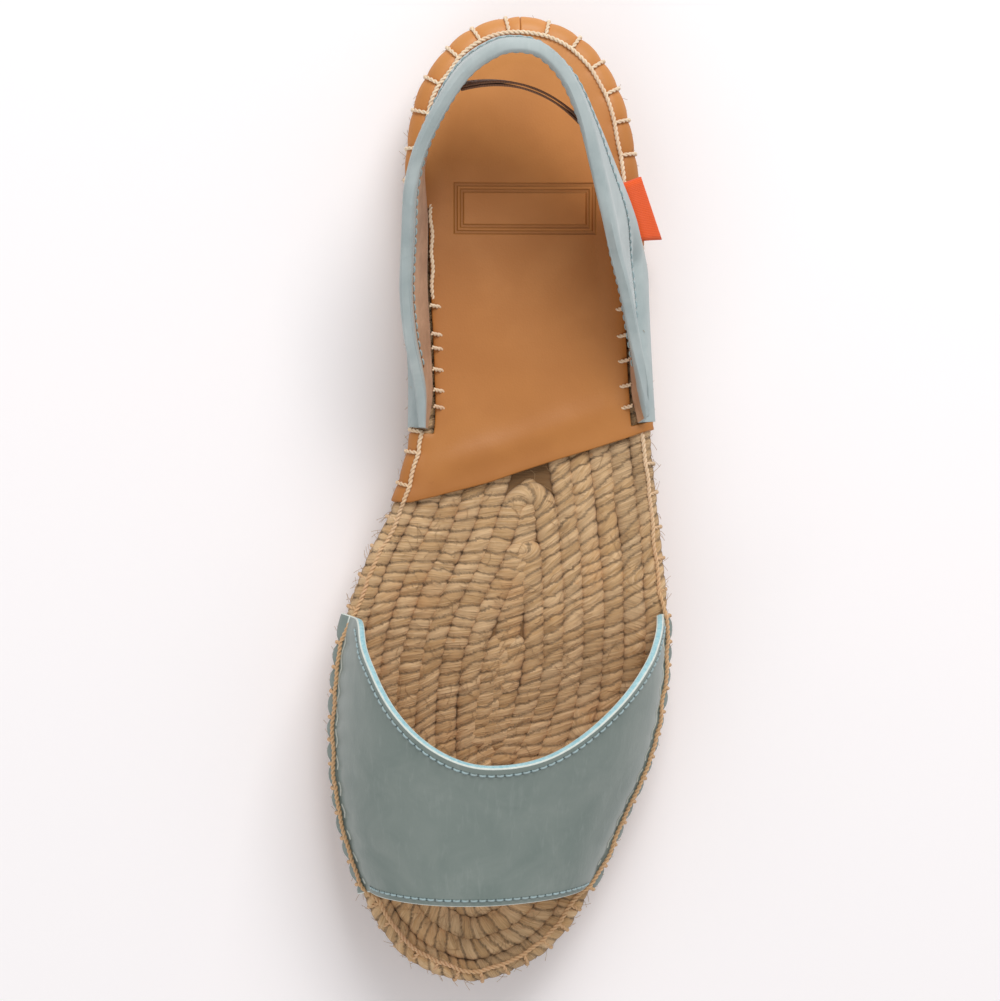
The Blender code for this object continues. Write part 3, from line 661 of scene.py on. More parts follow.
def grained(name, roughness, size, noise, body, layer, relief=None):
    """A material with one fine grain. It serves the dyed and burnished cut edges of the
    leather, whose fibres lie in thin layers, the dusty pebbled face of the thin moulded tread
    sheet, the small dull threads, and the painted shade of the needle holes."""
    made, tree, _ = new_material(name, Roughness=roughness)
    spot = add_node(tree, "TexCoord", output="Object")
    inputs = {"Vector": spot, "Scale": 1 / size, "Detail": noise[0], "Roughness": noise[1]}
    grain = add_node(tree, "TexNoise", inputs)
    paint(tree, body, [(grain, *layer)], (grain,) if relief else (), *(relief or ()))
    return made


def woven_tape(name, body, dark, pick):
    """A narrow woven tape: weft ribs across it, pick apart, and fine warp ends along it."""
    made, tree, _ = new_material(name, Roughness=0.75, Sheen_Weight=0.15)
    lay = add_node(tree, "TexCoord", output="UV")
    waves = []
    for direction, gap in (("X", pick), ("Y", pick * 1.6)):
        inputs = {"Vector": lay, "Scale": 10 * MM / gap / 2, "Distortion": 0.4}
        settings = {"wave_type": "BANDS", "bands_direction": direction}
        waves.append(add_node(tree, "TexWave", inputs, "Fac", **settings))
    rib = add_node(tree, "Math", {0: waves[0], 1: waves[1]}, operation="MULTIPLY")
    paint(tree, dark, [(rib, 0.0, 0.6, 1.0, body)], (rib,), 0.5, 0.15 * MM)
    return made


JUTE_TOP = jute_fibre("jute_yarn", "#ebc99d", "#c49b68", "#d2a06c", "#6e4c28")
JUTE_SIDE = jute_fibre("jute_yarn_side", "#e6c49a", "#bd9564", "#d3a272", "#76552f")
THREAD = waxed_thread()
TAN = veg_tan()
BLUE = nubuck("blue_grey_nubuck", "#8b9590", "#a3aba7", "#7a8782")
PALE = nubuck("pale_blue_nubuck", "#bcc6c6", "#d2dad8", "#a4b1b2", nap=0.6)
LINING = suede_lining()
EDGE_NOISE, EDGE_RELIEF = (4.0, 0.7), (0.35, 0.15 * MM)
EDGE = grained(
    "dyed_cut_edge", 0.65, 1.1 * MM, EDGE_NOISE, "#8fc0cb", (0.38, 0.68, 1.0, "#b4d8de"), EDGE_RELIEF
)
EDGE_RIM = grained(
    "raw_edge_line", 0.65, 1.1 * MM, EDGE_NOISE, "#cfd9d3", (0.38, 0.68, 1.0, "#e2e6de"), EDGE_RELIEF
)
ELASTIC = woven_tape("woven_elastic", "#94694c", "#553525", 0.7 * MM)
RIBBON = woven_tape("orange_ribbon", "#ff6a18", "#ee5208", 0.5 * MM)
RUBBER = grained(
    "natural_rubber", 0.8, 1.5 * MM, (4.0, 0.6), "#7d5a38", (0.35, 0.7, 1.0, "#a3794c"), (0.5, 0.3 * MM)
)
DUST = (0.4, 0.8, 0.35, "#7a6a58")
SEAM = grained("polyester_seam_thread", 0.55, 1.5 * MM, (2.0, 0.55), "#9fb6ba", DUST)
# painted shade: dark discs stand for the shade inside the needle holes, in the blue leather and in the
# tan leather
NEEDLE_HOLE_SHADE = grained("needle_hole_shade", 0.95, 1.5 * MM, (2.0, 0.55), "#5a6b6c", DUST)
TAN_HOLE_SHADE = grained("tan_hole_shade", 0.95, 1.5 * MM, (2.0, 0.55), "#6b4420", DUST)


# Jute sole


def make_core():
    """The inside of the coil: jute behind and under the yarns, painted dark with the full groove shade.
    """
    rows = []
    for place in 0.5 * (1 - np.cos(np.linspace(0, math.pi, 81))):
        arms = {}
        for side in (MEDIAL, LATERAL):
            arms[side] = []
            for inset, height in ((4.4, 0.2), (4.2, 4.0), (4.2, 12.0), (4.6, 15.6)):
                plan, _ = rim.at(rim.find(side, place), inset * MM)
                z = OUTSOLE_THICK + GAP + height * MM + rise(plan[1])
                arms[side].append([*plan, z])
        ends = [np.array(arms[side][-1][:2]) for side in (MEDIAL, LATERAL)]
        shares = np.linspace(0, 1, 9)[1:-1]
        top = bed(ends[0] + (ends[1] - ends[0]) * shares[:, None], -2.3 * MM)
        rows.append([*arms[MEDIAL], *top, *arms[LATERAL][::-1]])
    points = np.array(rows)
    # painted shade: the whole core takes the jute's groove shade, as it lies in shadow behind the yarns
    shade = np.full(points.shape[:2], 1.0)
    bm = merged([lay_grid(points, points[:, :, :2] / (10 * MM), shade)], merge=1e-5, fill=400)
    bmesh.ops.triangulate(bm, faces=[f for f in bm.faces if len(f.verts) > 4])
    finish_piece("jute_core", bm, [JUTE_TOP])


def middle_line(ys):
    """The points deepest inside the outline at each y."""
    xs = np.linspace(-0.5, 0.5, 121) * HALF_WIDTH
    line = []
    for y in ys:
        depth = rim.depth(np.column_stack([xs, np.full(len(xs), y)]))
        line.append([xs[int(np.argmax(depth))], y])
    line = np.array(line)
    line[:, 0] = np.convolve(np.pad(line[:, 0], 4, mode="edge"), np.full(9, 1 / 9), "valid")
    return line


def softened(path, closed, reach=9, width=3.5):
    """The path with its corners rounded off."""
    weights = np.exp(-0.5 * (np.arange(-reach, reach + 1) / width) ** 2)
    if closed:
        ring = np.vstack([path[-reach:], path, path[:reach]])
    else:
        ring = np.vstack([np.repeat(path[:1], reach, 0), path, np.repeat(path[-1:], reach, 0)])
    return np.column_stack(
        [np.convolve(ring[:, k], weights / weights.sum(), "valid") for k in (0, 1)]
    )


def turn_path(number):
    """The middle of one turn of the coil in plan, and whether it closes on itself. The inner
    turns bend back behind the ball of the foot."""
    depth = FIRST_RUN + RUN_PITCH * number
    curve, inward = rim.curve[:-1], rim.inward[:-1]
    moved = curve + inward * depth
    kept = rim.depth(moved) > depth - 0.12 * MM
    if number == 0:
        return np.vstack([moved, moved[:1]]), True
    bend = BENDS.get(number)
    kept &= moved[:, 1] < (bend[0] if bend else 30 * MM)
    path = evenly(moved[kept], 0.5 * MM)
    if not bend:
        return softened(path, False), False
    middle = middle_line(path[:, 1])[:, 0]
    side = np.where(path[:, 0] < middle, -1, 1)
    near = np.abs(path[:, 0] - middle)
    back = path[:, 1] > bend[0] - 25 * MM
    path[:, 0] = np.where(back, middle + side * np.maximum(near, bend[1]), path[:, 0])
    centre, radius = (path[0] + path[-1]) / 2, abs(path[-1, 0] - path[0, 0]) / 2
    arc = np.linspace(0, math.pi, 18)[1:-1]
    bow = centre + radius * np.column_stack([np.cos(arc), 1.1 * np.sin(arc)])
    return evenly(softened(np.vstack([path, bow]), True), 0.5 * MM), True


def make_run(path, seed, closed=False, drop=0.0, wide=1.0):
    """One turn of the coil seen from above: the edge of the plait, its yarns side by side as
    slanted lumps."""
    if closed:
        path = np.vstack([path, path[:1]])
    path = evenly(path, RUN_STEP)
    along = lengths(path)
    tangent = unit(np.gradient(path, axis=0))
    inward = np.stack([-tangent[:, 1], tangent[:, 0]], axis=1)
    path = path + inward * (wobble(along, 15 * MM, seed) * 0.32 * MM)[:, None]
    columns = 15
    turn = np.linspace(-1.75, 1.75, columns)
    half = RUN_WIDTH / 2 * wide * (1 + 0.06 * wobble(along, 11 * MM, seed + 1))
    ends = np.ones(len(path))
    if not closed:
        ends = np.clip(np.minimum(along, along[-1] - along) / (3 * MM), 0.02, 1) ** 0.5
    across = np.sin(turn)[None, :] * (half * ends)[:, None]
    slant = LUMP_SLANT + 0.22 * wobble(along, 23 * MM, seed + 2)
    jitter = 0.32 * wobble(along, 5.0 * MM, seed + 3)[:, None]
    phase = (along[:, None] + slant[:, None] * across) / LUMP_LENGTH + jitter
    phase = phase + 0.11 * wobble(across + along[:, None] * 0.3, 1.5 * MM, seed + 4)
    ridge = np.abs(np.sin(math.pi * phase)) ** 0.55
    number = np.floor(phase)
    size = 0.72 + 0.28 * wobble(number, 1.0, seed + 5)
    crown = np.clip(np.cos(turn), 0, 1)[None, :] ** 0.45
    lift = np.cos(turn)[None, :] * RUN_HEIGHT * ends[:, None]
    lift = lift + (ridge - 1.0) * LUMP_DEPTH * size * crown
    lift = lift + 0.20 * MM * wobble(number, 1.0, seed + 6) * crown
    strand = wobble(across * math.cos(0.5) - along[:, None] * math.sin(0.5), 0.55 * MM, seed + 9)
    lift = lift + 0.05 * MM * strand * crown
    across = across * (0.93 + 0.09 * ridge + 0.05 * wobble(number, 1.0, seed + 7))
    plan = path[:, None, :] + inward[:, None, :] * across[:, :, None]
    height = bed(plan.reshape(-1, 2))[:, 2].reshape(plan.shape[:2])
    height = height + 0.20 * MM - drop - RUN_HEIGHT + lift
    height = height + (0.28 * MM * wobble(along, 13 * MM, seed + 8))[:, None]
    points = np.dstack([plan, height])
    lean = np.arctan(slant)[:, None]
    fibre = np.cos(lean) * across - np.sin(lean) * along[:, None]
    beside = np.cos(lean) * along[:, None] + np.sin(lean) * across
    uv = np.stack([fibre, beside], axis=2) / (10 * MM) + seed * 0.37 + number[:, :, None] * 0.61
    # painted shade for the jute: darker in the dips between lumps and toward the run's edges, where the
    # runs meet
    edge = 1 - np.clip(np.cos(turn), 0, 1)[None, :] ** 0.8
    shade = np.clip(0.85 * (1 - ridge) ** 1.3 + edge**1.5, 0, 1)
    tone = 0.5 + 0.5 * wobble(number + 7 * seed, 1.0, 77)
    if closed:
        blend = smooth_step(np.linspace(0, 1, 16))[:, None, None]
        points[-16:] = points[-16:] * (1 - blend) + points[0] * blend
    return lay_grid(points, uv, shade, tone)


def make_coil():
    """All the turns of the coil, as far back as the insole hides them."""
    meshes = []
    for number in range(RUNS):
        path, closed = turn_path(number)
        meshes.append(make_run(path, 20 * number + 3, closed))
    middle = middle_line(np.linspace(6, -84, 91) * MM)
    meshes.append(make_run(middle, 211, drop=0.5 * MM, wide=1.1))
    for side in (-1, 1):
        part = middle_line(np.linspace(-35, -66, 32) * MM) + np.array([side * 2.7 * MM, 0.0])
        meshes.append(make_run(part, 231 + side, drop=0.1 * MM, wide=0.95))
    bm = merged(meshes, merge=1e-8)
    for face in bm.faces:
        if face.normal.z < -0.2:
            face.normal_flip()
    finish_piece("jute_coil", bm, [JUTE_TOP], smooth=0)


def make_rim_plait():
    """The coil's outermost turn: a three-strand flat plait stood on its edge, each strand three
    yarns wide, which is the whole side of the sole."""
    periods = int(round(rim.round / PLAIT_PERIOD))
    period = rim.round / periods
    meshes = []
    u = np.linspace(0, rim.round, periods * 40 + 1)
    for strand in range(3):
        for yarn in range(3):
            seed = strand * 3 + yarn
            phase = 2 * math.pi * ((u - (yarn - 1) * period / 9) / period + strand / 3)
            swing = np.cos(phase)
            loose = 0.22 * MM * wobble(u, 9 * MM, 71 + seed)
            inset = PLAIT_INSET + 0.70 * MM * swing**4 - PLAIT_WEAVE * np.sin(2 * phase) + loose
            inset[-1] = inset[0]
            plan, inward = rim.at(u, inset)
            z = PLAIT_MIDDLE + rise(plan[:, 1]) + PLAIT_REACH * swing
            radius = PLAIT_YARN * (1 + 0.10 * wobble(u, 5 * MM, 91 + seed))
            radius[-1] = radius[0]
            reference = np.column_stack([-inward, np.zeros(len(u))])
            path = np.column_stack([plan, z])
            meshes.append(tube(path, radius, reference, sides=7, flat=0.85, twist=3.0))
    bm = merged(meshes, merge=1e-7)
    finish_piece("jute_rim_plait", bm, [JUTE_SIDE], node="jute_sole", smooth=0)


# Sewing thread


def leg_places():
    """The distances round the rim where a leg of the blanket stitch crosses the edge: wide
    apart at the heel, closer on the vamp."""
    horn = {side: rim.find(side, VAMP_HORN) for side in (MEDIAL, LATERAL)}
    places = []
    at = 3.5 * MM
    while at < rim.round - 4 * MM:
        places.append(at)
        on_vamp = horn[MEDIAL] < at < horn[LATERAL]
        at += (6.4 if on_vamp else 8.9) * MM * (1 + 0.09 * rng.uniform(-1, 1))
    return np.array(places)


LEGS = leg_places()


FOOT = {MEDIAL: (0.190, 0.428), LATERAL: (0.205, 0.424)}


def spine_travel(distance):
    """Where the stitch's spine runs, counted outwards from the start of the shoulder, and how
    high it lies above the jute. Under the strap's feet it keeps below the strap's margin."""
    foot = {side: [rim.find(side, place) for place in FOOT[side]] for side in FOOT}
    toe = {side: rim.find(side, VAMP_TOE[side]) for side in FOOT}
    horn = {side: rim.find(side, VAMP_HORN) for side in FOOT}
    front = {side: rim.find(side, INSOLE_FRONT[side]) for side in FOOT}
    leather = INSOLE_THICK + GAP
    margin = VAMP_MARGIN_THICK + GAP + 0.3 * MM
    step = 1 * MM
    marks = [(0, -0.6, leather)]
    for side, turn in ((MEDIAL, 1), (LATERAL, -1)):
        part = [
            (foot[side][0], -0.6, leather),
            (foot[side][0] + step * turn, 6.0, 0.3 * MM),
            (foot[side][1] - step * turn, 6.0, 0.3 * MM),
            (foot[side][1], 0.2, leather if side == MEDIAL else 0.0),
            (front[side] - step * turn, 0.2, leather if side == MEDIAL else 0.0),
            (front[side] + step * turn, 0.2, 0.0),
            (horn[side] - step * turn, 0.8, 0.0),
            (horn[side] + step * turn, 2.2, margin),
            (toe[side] - step * turn, 2.2, margin),
            (toe[side] + 3 * step * turn, -0.5, 0.0),
        ]
        marks += part[:: 1 if turn > 0 else -1]
    marks.append((rim.round, -0.6, leather))
    travel, out = (np.interp(distance, [m[0] for m in marks], [m[k] for m in marks]) for k in (1, 2))
    return travel * MM, out


def two_ply(path, radius, reference, lay=2.6 * MM, sides=6):
    """A twisted thread: two plies that wind round the path."""
    path = evenly(np.asarray(path, float), lay / 7)
    tangent = unit(np.gradient(path, axis=0))
    reference = np.broadcast_to(reference, path.shape)
    across = unit(reference - tangent * (reference * tangent).sum(axis=1, keepdims=True))
    beside = np.cross(tangent, across)
    turn = lengths(path) / lay * 2 * math.pi
    meshes = []
    for start in (0.0, math.pi):
        offset = across * np.cos(turn + start)[:, None] + beside * np.sin(turn + start)[:, None]
        meshes.append(tube(path + offset * radius * 0.5, radius * 0.56, reference, sides=sides))
    return meshes


def stitch_run(knots_at):
    """One thread of the blanket stitch: its spine goes in straight lengths from leg to leg,
    and each leg pulls its knot out a little and goes over the edge into the jute."""
    travel, out = spine_travel(np.mod(knots_at, rim.round))
    sunk = np.where(out < 0.5 * MM, 0.30, 0.50) * MM
    pull = 0.35 * MM
    knots = over_edge(knots_at, travel + pull, out + sunk)
    path = []
    shares = np.linspace(0, 1, 9)[:-1]
    for first in range(len(knots_at) - 1):
        d = knots_at[first] + (knots_at[first + 1] - knots_at[first]) * shares
        t, o = spine_travel(np.mod(d, rim.round))
        rest = sunk[first]
        on_edge = over_edge(d, t, o + rest)
        line = knots[first] + (knots[first + 1] - knots[first]) * shares[:, None]
        line = on_edge * 0.20 + line * 0.80
        line[:, 2] = np.maximum(line[:, 2], on_edge[:, 2] - 0.10 * MM)
        slack = 0.35 * MM * np.sin(np.pi * shares) * rng.uniform(-1, 1)
        _, inward = rim.at(d)
        line[:, :2] += inward * slack[:, None]
        path.extend(line)
    path.append(knots[-1])
    path = np.array(path)
    for end in (0, -1):
        path[end, 2] -= 1.2 * MM
    meshes = two_ply(smooth_curve(path, 2), 0.60 * MM, (0, 0, 1))
    for at, t, o in zip(knots_at, travel, out):
        on_jute = o < 0.5 * MM
        lean = rng.uniform(-1.0, 1.0) * MM
        steps = np.linspace(0, 1, 14)
        reach = t + pull + (SHOULDER_ARC + (2.2 if on_jute else 4.4) * MM - t) * steps
        height = np.maximum(o * (1 - smooth_step((reach - 3.0 * MM) / (3.0 * MM))), 0.0)
        height = height + (0.10 if on_jute else 0.42) * MM * (1 - steps**4)
        height = height - 1.6 * MM * np.clip(steps - 0.80, 0, 1) / 0.20
        line = over_edge(at + lean * steps, reach, height)
        _, inward = rim.at(at)
        meshes += two_ply(line, 0.52 * MM, np.array([inward[1], -inward[0], 0.0]))
    return meshes


def make_blanket_stitch():
    """The hand stitch round the whole sole, in four threads: heel, forefoot, and one under
    each foot of the strap, where it holds the strap's margin."""
    edges = {side: [rim.find(side, place) for place in FOOT[side]] for side in FOOT}
    parts = [
        (edges[LATERAL][0] - rim.round, edges[MEDIAL][0]),
        (edges[MEDIAL][0] + 1.5 * MM, edges[MEDIAL][1] - 1.5 * MM),
        (edges[MEDIAL][1], edges[LATERAL][1]),
        (edges[LATERAL][1] + 1.5 * MM, edges[LATERAL][0] - 1.5 * MM),
    ]
    every = np.concatenate([LEGS - rim.round, LEGS])
    meshes = []
    for start, end in parts:
        inside = every[(every > start + 2.5 * MM) & (every < end - 2.5 * MM)]
        meshes += stitch_run(np.concatenate([[start], inside, [end]]))
    bm = merged(meshes, fill=8)
    finish_piece("blanket_stitch", bm, [THREAD], smooth=0)


def make_base_stitches():
    """The stitches that hold the strap's inner foot down on the insole, and discs of painted shade for
    their holes.
    """
    meshes, holes = [], []

    def on_sock(side, y, inset, out):
        plan, _ = rim.at(rim.find(side, 0.5 - y * MM / SOLE_LENGTH), inset * MM)
        return bed(plan, INSOLE_THICK + GAP + out * MM)[0]

    insets = (6.2, 5.8, 6.3, 5.9, 6.2, 5.7, 6.0)
    line = [on_sock(MEDIAL, y, i, 0.8) for y, i in zip(np.linspace(78, 51, 7), insets)]
    line[0][2] -= 1.5 * MM
    line[-1][2] -= 1.5 * MM
    meshes += two_ply(smooth_curve(line, 6), 0.55 * MM, (0, 0, 1))
    rows = {
        MEDIAL: (49.9, 42.6, 39.0, 33.5, 28.1, 24.0),
        LATERAL: (50.0, 43.0, 36.5, 30.0, 24.5),
    }
    for side, ys in rows.items():
        for y in ys:
            start = on_sock(side, y + 0.5, 5.0, 2.2)
            middle = on_sock(side, y + 0.2, 6.4, 0.9)
            end = on_sock(side, y, 8.0, -0.4)
            meshes += two_ply(smooth_curve([start, middle, end], 6), 0.55 * MM, (0, 1, 0))
            holes.append((on_sock(side, y, 8.2, 0.10), (0, 0, 1), 0.80 * MM))
    bm = merged(meshes, fill=8)
    finish_piece("base_stitches", bm, [THREAD], smooth=0)
    # painted shade: dark discs for the holes in the insole
    finish_piece("base_holes", hole_shade_discs(holes), [TAN_HOLE_SHADE], smooth=0)


def hole_shade_discs(holes):
    """Small discs of painted shade where a needle went in, standing for the dark inside of the hole:
    each is a centre, a normal and a radius.
    """
    bm = bmesh.new()
    for centre, normal, radius in holes:
        made = bmesh.ops.create_circle(bm, cap_ends=True, segments=8, radius=radius)
        turn = Vector((0, 0, 1)).rotation_difference(Vector(normal)).to_matrix()
        bmesh.ops.rotate(bm, verts=made["verts"], matrix=turn)
        bmesh.ops.translate(bm, verts=made["verts"], vec=Vector(centre))
    return bm


def seam_stitches(line, normals, length, gap, radius):
    """Machine stitches along a line on the leather: short rounded threads, and discs of painted shade
    for their holes.
    """
    along = lengths(line)
    meshes, holes = [], []
    count = int(along[-1] // (length + gap))
    pitch = along[-1] / count

    def on_line(d):
        p = np.array([np.interp(d, along, line[:, k]) for k in range(3)])
        n = np.array([np.interp(d, along, normals[:, k]) for k in range(3)])
        return p, n / np.linalg.norm(n)

    for k in range(count):
        start = k * pitch + gap / 2
        points, heights = [], (-0.12, 0.20, 0.26, 0.20, -0.12)
        for share, height in zip((0, 0.22, 0.5, 0.78, 1.0), heights):
            p, n = on_line(start + (pitch - gap) * share)
            points.append(p + n * height * MM)
        _, n = on_line(start + pitch / 2)
        meshes.append(tube(points, radius, n, sides=5))
        p, n = on_line(start - gap / 2)
        holes.append((p + n * 0.07 * MM, n, 0.42 * MM))
    return meshes, holes


# Insole


def pucker(distance, travel):
    """How much the stitches pull the insole down near the edge."""
    gap = np.abs(np.asarray(distance)[..., None] - LEGS).min(axis=-1)
    near = np.exp(-((gap / (1.7 * MM)) ** 2))
    edge = smooth_step((np.asarray(travel) + 3.5 * MM) / (4.0 * MM))
    return near * edge * 0.45 * MM


def make_insole():
    """The sock over the heel half, wrapped over the edge and cut back inside the strap."""
    wraps = np.array([3.7, 3.0, 2.3, 1.5, 0.7, -0.1, -0.9, -1.6, -2.1, -2.45, -3.8, -6.0]) * MM
    cut_column = 9
    inner = 12
    even = 1 - np.cos(math.pi / 2 * np.arange(131) / 130)
    steps = even
    lines = []
    for side in (MEDIAL, LATERAL):
        places = INSOLE_FRONT[side] * steps
        d = rim.find(side, places)
        part = []
        for travel in wraps:
            part.append(over_edge(d, travel, GAP - pucker(d, travel) + 0.15 * MM))
        start = part[-1][:, :2]
        part = np.array(part).transpose(1, 0, 2)
        lines.append((part, start))
    middle = (lines[0][1] + lines[1][1]) / 2
    behind = middle[:, 1] > SOLE_LENGTH / 2 - SPINE_END
    middle[behind] = spine_point(SOLE_LENGTH / 2 - SPINE_END)
    grids = []
    for part, start in lines:
        shares = np.arange(1, inner + 1) / inner
        plan = start[:, None, :] + (middle - start)[:, None, :] * shares[None, :, None]
        flat = bed(plan.reshape(-1, 2), GAP + 0.15 * MM).reshape(*plan.shape[:2], 3)
        sway = 0.22 * MM * wobble(flat[:, :, 0] + 0.6 * flat[:, :, 1], 13 * MM, 5)
        flat[:, :, 2] += sway * shares[None, :] ** 0.5
        grids.append(np.concatenate([part, flat], axis=1))
    points = np.concatenate([grids[0], grids[1][:, -2::-1]], axis=1)
    columns = points.shape[1]
    front = [(-23.5, -0.5), (-13.2, 2.1), (-3.6, 4.5), (5.8, 7.7), (15.3, 10.8)]
    front = np.array([*front, (24.7, 13.6), (38.5, 18.1)])
    target = np.interp(points[-1, :, 0], front[:, 0] * MM, front[:, 1] * MM)
    share = smooth_step((steps - 0.80) / 0.20)[:, None]
    points[:, :, 1] += share * (target - points[-1, :, 1])[None, :]
    behind = points[:, :, 1] - points[-1:, :, 1]
    inner_part = np.arange(columns) / (columns - 1)
    inner_part = smooth_step(np.minimum(inner_part, 1 - inner_part) * 6 - 1.0)
    points[:, :, 2] += 0.7 * MM * np.exp(-(((behind - 9 * MM) / (3.5 * MM)) ** 2)) * inner_part
    keep = np.ones((len(steps) - 1, columns - 1), bool)
    for row in range(len(steps) - 1):
        step = (steps[row] + steps[row + 1]) / 2
        if 0.196 < INSOLE_FRONT[MEDIAL] * step < 0.4270:
            keep[row, :cut_column] = False
        if 0.235 < INSOLE_FRONT[LATERAL] * step < 0.4205:
            keep[row, columns - 1 - cut_column :] = False
    uv = points[:, :, :2] / (10 * MM)
    bm = merged([lay_grid(points, uv, keep=keep)], merge=1e-6)
    if sum(f.normal.z for f in bm.faces) < 0:
        bmesh.ops.reverse_faces(bm, faces=bm.faces)
    piece = finish_piece("insole_sock", bm, [TAN], node="insole", smooth=0)
    add_modifier(piece, "SOLIDIFY", thickness=INSOLE_THICK, offset=1.0)
    add_modifier(
        piece, "BEVEL", width=0.35 * MM, segments=2, limit_method="ANGLE", angle_limit=math.radians(50)
    )


# Vamp

THROAT_CURVE = smooth_curve(THROAT, 12)


def form_point(place, turn):
    """A point on the foot's form over the ball and toes. Turn runs from 0 at the medial edge
    of the sole to pi at the lateral edge."""
    inset = VAMP_INSET + VAMP_THICK / 2
    ends = [rim.at(rim.find(side, place), inset)[0] for side in (MEDIAL, LATERAL)]
    power = 2 / VAMP_SQUARENESS
    c, s = math.cos(turn), math.sin(turn)
    across = 0.5 * (1 - math.copysign(abs(c) ** power, c))
    plan = ends[0] + (ends[1] - ends[0]) * across
    deepest = VAMP_HORN + THROAT_DEPTH
    back = (place - deepest) / (VAMP_TOE_MIDDLE - deepest)
    crest = INSTEP_HEIGHT + (TOE_BOX_HEIGHT - INSTEP_HEIGHT) * back
    return np.array([plan[0], plan[1], SOLE_TOP + float(rise(plan[1])) + crest * s**power])


def vamp_grid(rows=64, arch=84):
    """Rows of points on the middle of the vamp's wall, from the throat to the toe opening."""
    half = VAMP_MARGIN_THICK / 2
    grid = []
    for share in np.linspace(0, 1, rows):
        place = {s: VAMP_HORN + (VAMP_TOE[s] - VAMP_HORN) * share for s in (MEDIAL, LATERAL)}
        margin = {}
        for side in (MEDIAL, LATERAL):
            d = float(rim.find(side, place[side]))
            near = np.abs(d - LEGS).min()
            scallop = 1.0 - 0.28 * np.exp(-((near / (1.5 * MM)) ** 2))
            parts = np.array([1.0, 0.86, 0.72, 0.58, 0.44, 0.30]) * VAMP_MARGIN * scallop
            press = 0.25 * MM * np.exp(-((near / (1.4 * MM)) ** 2))
            margin[side] = over_edge(d, parts, GAP + half + 0.35 * MM - press)
        line = list(margin[MEDIAL])
        for k in range(arch + 1):
            turn = math.pi * (0.045 + 0.91 * k / arch)
            across = 0.5 * (1 - math.cos(turn))
            side_place = place[MEDIAL] + (place[LATERAL] - place[MEDIAL]) * across
            throat = VAMP_HORN + THROAT_DEPTH * float(
                np.interp(across, THROAT_CURVE[:, 0], THROAT_CURVE[:, 1])
            )
            bow = 4 * across * (1 - across)
            toe = VAMP_TOE[MEDIAL] + (VAMP_TOE[LATERAL] - VAMP_TOE[MEDIAL]) * across
            toe += (VAMP_TOE_MIDDLE - (VAMP_TOE[MEDIAL] + VAMP_TOE[LATERAL]) / 2) * bow
            along = throat + (toe - throat) * share
            along = side_place + (along - side_place) * float(smooth_step(bow * 6))
            point = form_point(along, turn)
            low = math.exp(-((math.sin(turn) / 0.33) ** 2))
            side = MEDIAL if across < 0.5 else LATERAL
            d = float(rim.find(side, along))
            near = np.abs(d - LEGS).min()
            inward = 1 if side == MEDIAL else -1
            point[0] += inward * low * 0.55 * MM * math.exp(-((near / (1.6 * MM)) ** 2))
            line.append(point)
        line += list(margin[LATERAL][::-1])
        grid.append(line)
    grid = np.array(grid)
    normal = unit(np.cross(np.gradient(grid, axis=1), np.gradient(grid, axis=0)))
    if normal[rows // 2, arch // 2 + 6, 2] < 0:
        normal = -normal
    dent = wobble(grid[:, :, 0] + 0.5 * grid[:, :, 1], 15 * MM, 8) * wobble(grid[:, :, 1], 19 * MM, 9)
    arch_part = np.zeros(grid.shape[1])
    arch_part[6:-6] = np.sin(np.linspace(0, math.pi, arch + 1)) ** 0.5
    grid = grid + normal * (dent * 0.35 * MM * arch_part[None, :])[:, :, None]
    return grid, normal


def vamp_line(grid, normal, from_edge, first_row):
    """A line on the vamp's face that keeps its distance from the throat or the toe edge."""
    columns = range(9, grid.shape[1] - 9)
    line, normals = [], []
    for c in columns:
        part = grid[:, c] if first_row else grid[::-1, c]
        across = normal[:, c] if first_row else normal[::-1, c]
        along = lengths(part)
        line.append([np.interp(from_edge, along, part[:, k]) for k in range(3)])
        normals.append([np.interp(from_edge, along, across[:, k]) for k in range(3)])
    line, normals = np.array(line), unit(np.array(normals))
    return line + normals * (VAMP_THICK / 2), normals


def make_vamp():
    """The front band of blue nubuck, with a dyed cut edge at the throat and its two seams."""
    grid, normal = vamp_grid()
    uv = grid[:, :, :2] / (10 * MM)
    bm = merged([lay_grid(grid, uv)], merge=1e-7)
    top = max(bm.faces, key=lambda f: f.calc_center_median().z)
    if top.normal.z < 0:
        bmesh.ops.reverse_faces(bm, faces=bm.faces)
    piece = finish_piece(
        "vamp_band", bm, [BLUE, EDGE, EDGE_RIM, LINING], node="vamp", smooth=0
    )
    group = piece.vertex_groups.new(name="wall")
    thin = VAMP_MARGIN_THICK / VAMP_THICK
    for vertex in piece.data.vertices:
        depth = rim.depth(np.array([[vertex.co.x, vertex.co.y]]))[0]
        low = vertex.co.z < SOLE_TOP + 1.2 * MM + float(rise(vertex.co.y))
        group.add([vertex.index], thin if low and depth < 3.2 * MM else 1.0, "REPLACE")
    add_modifier(
        piece,
        "SOLIDIFY",
        thickness=VAMP_THICK,
        offset=0.0,
        vertex_group="wall",
        material_offset=3,
        material_offset_rim=1,
    )
    add_modifier(
        piece,
        "BEVEL",
        width=0.40 * MM,
        segments=2,
        limit_method="ANGLE",
        angle_limit=math.radians(50),
        material=2,
    )
    meshes, holes = [], []
    for from_edge, first_row in ((2.1 * MM, True), (1.9 * MM, False)):
        line, normals = vamp_line(grid, normal, from_edge, first_row)
        made = seam_stitches(line, normals, 1.75 * MM, 0.45 * MM, 0.27 * MM)
        meshes += made[0]
        holes += made[1]
    finish_piece("vamp_seams", merged(meshes, fill=8), [SEAM], smooth=0)
    # painted shade: dark discs for the needle holes along the vamp seams
    finish_piece("vamp_seam_holes", hole_shade_discs(holes), [NEEDLE_HOLE_SHADE], smooth=0)


# Heel strap


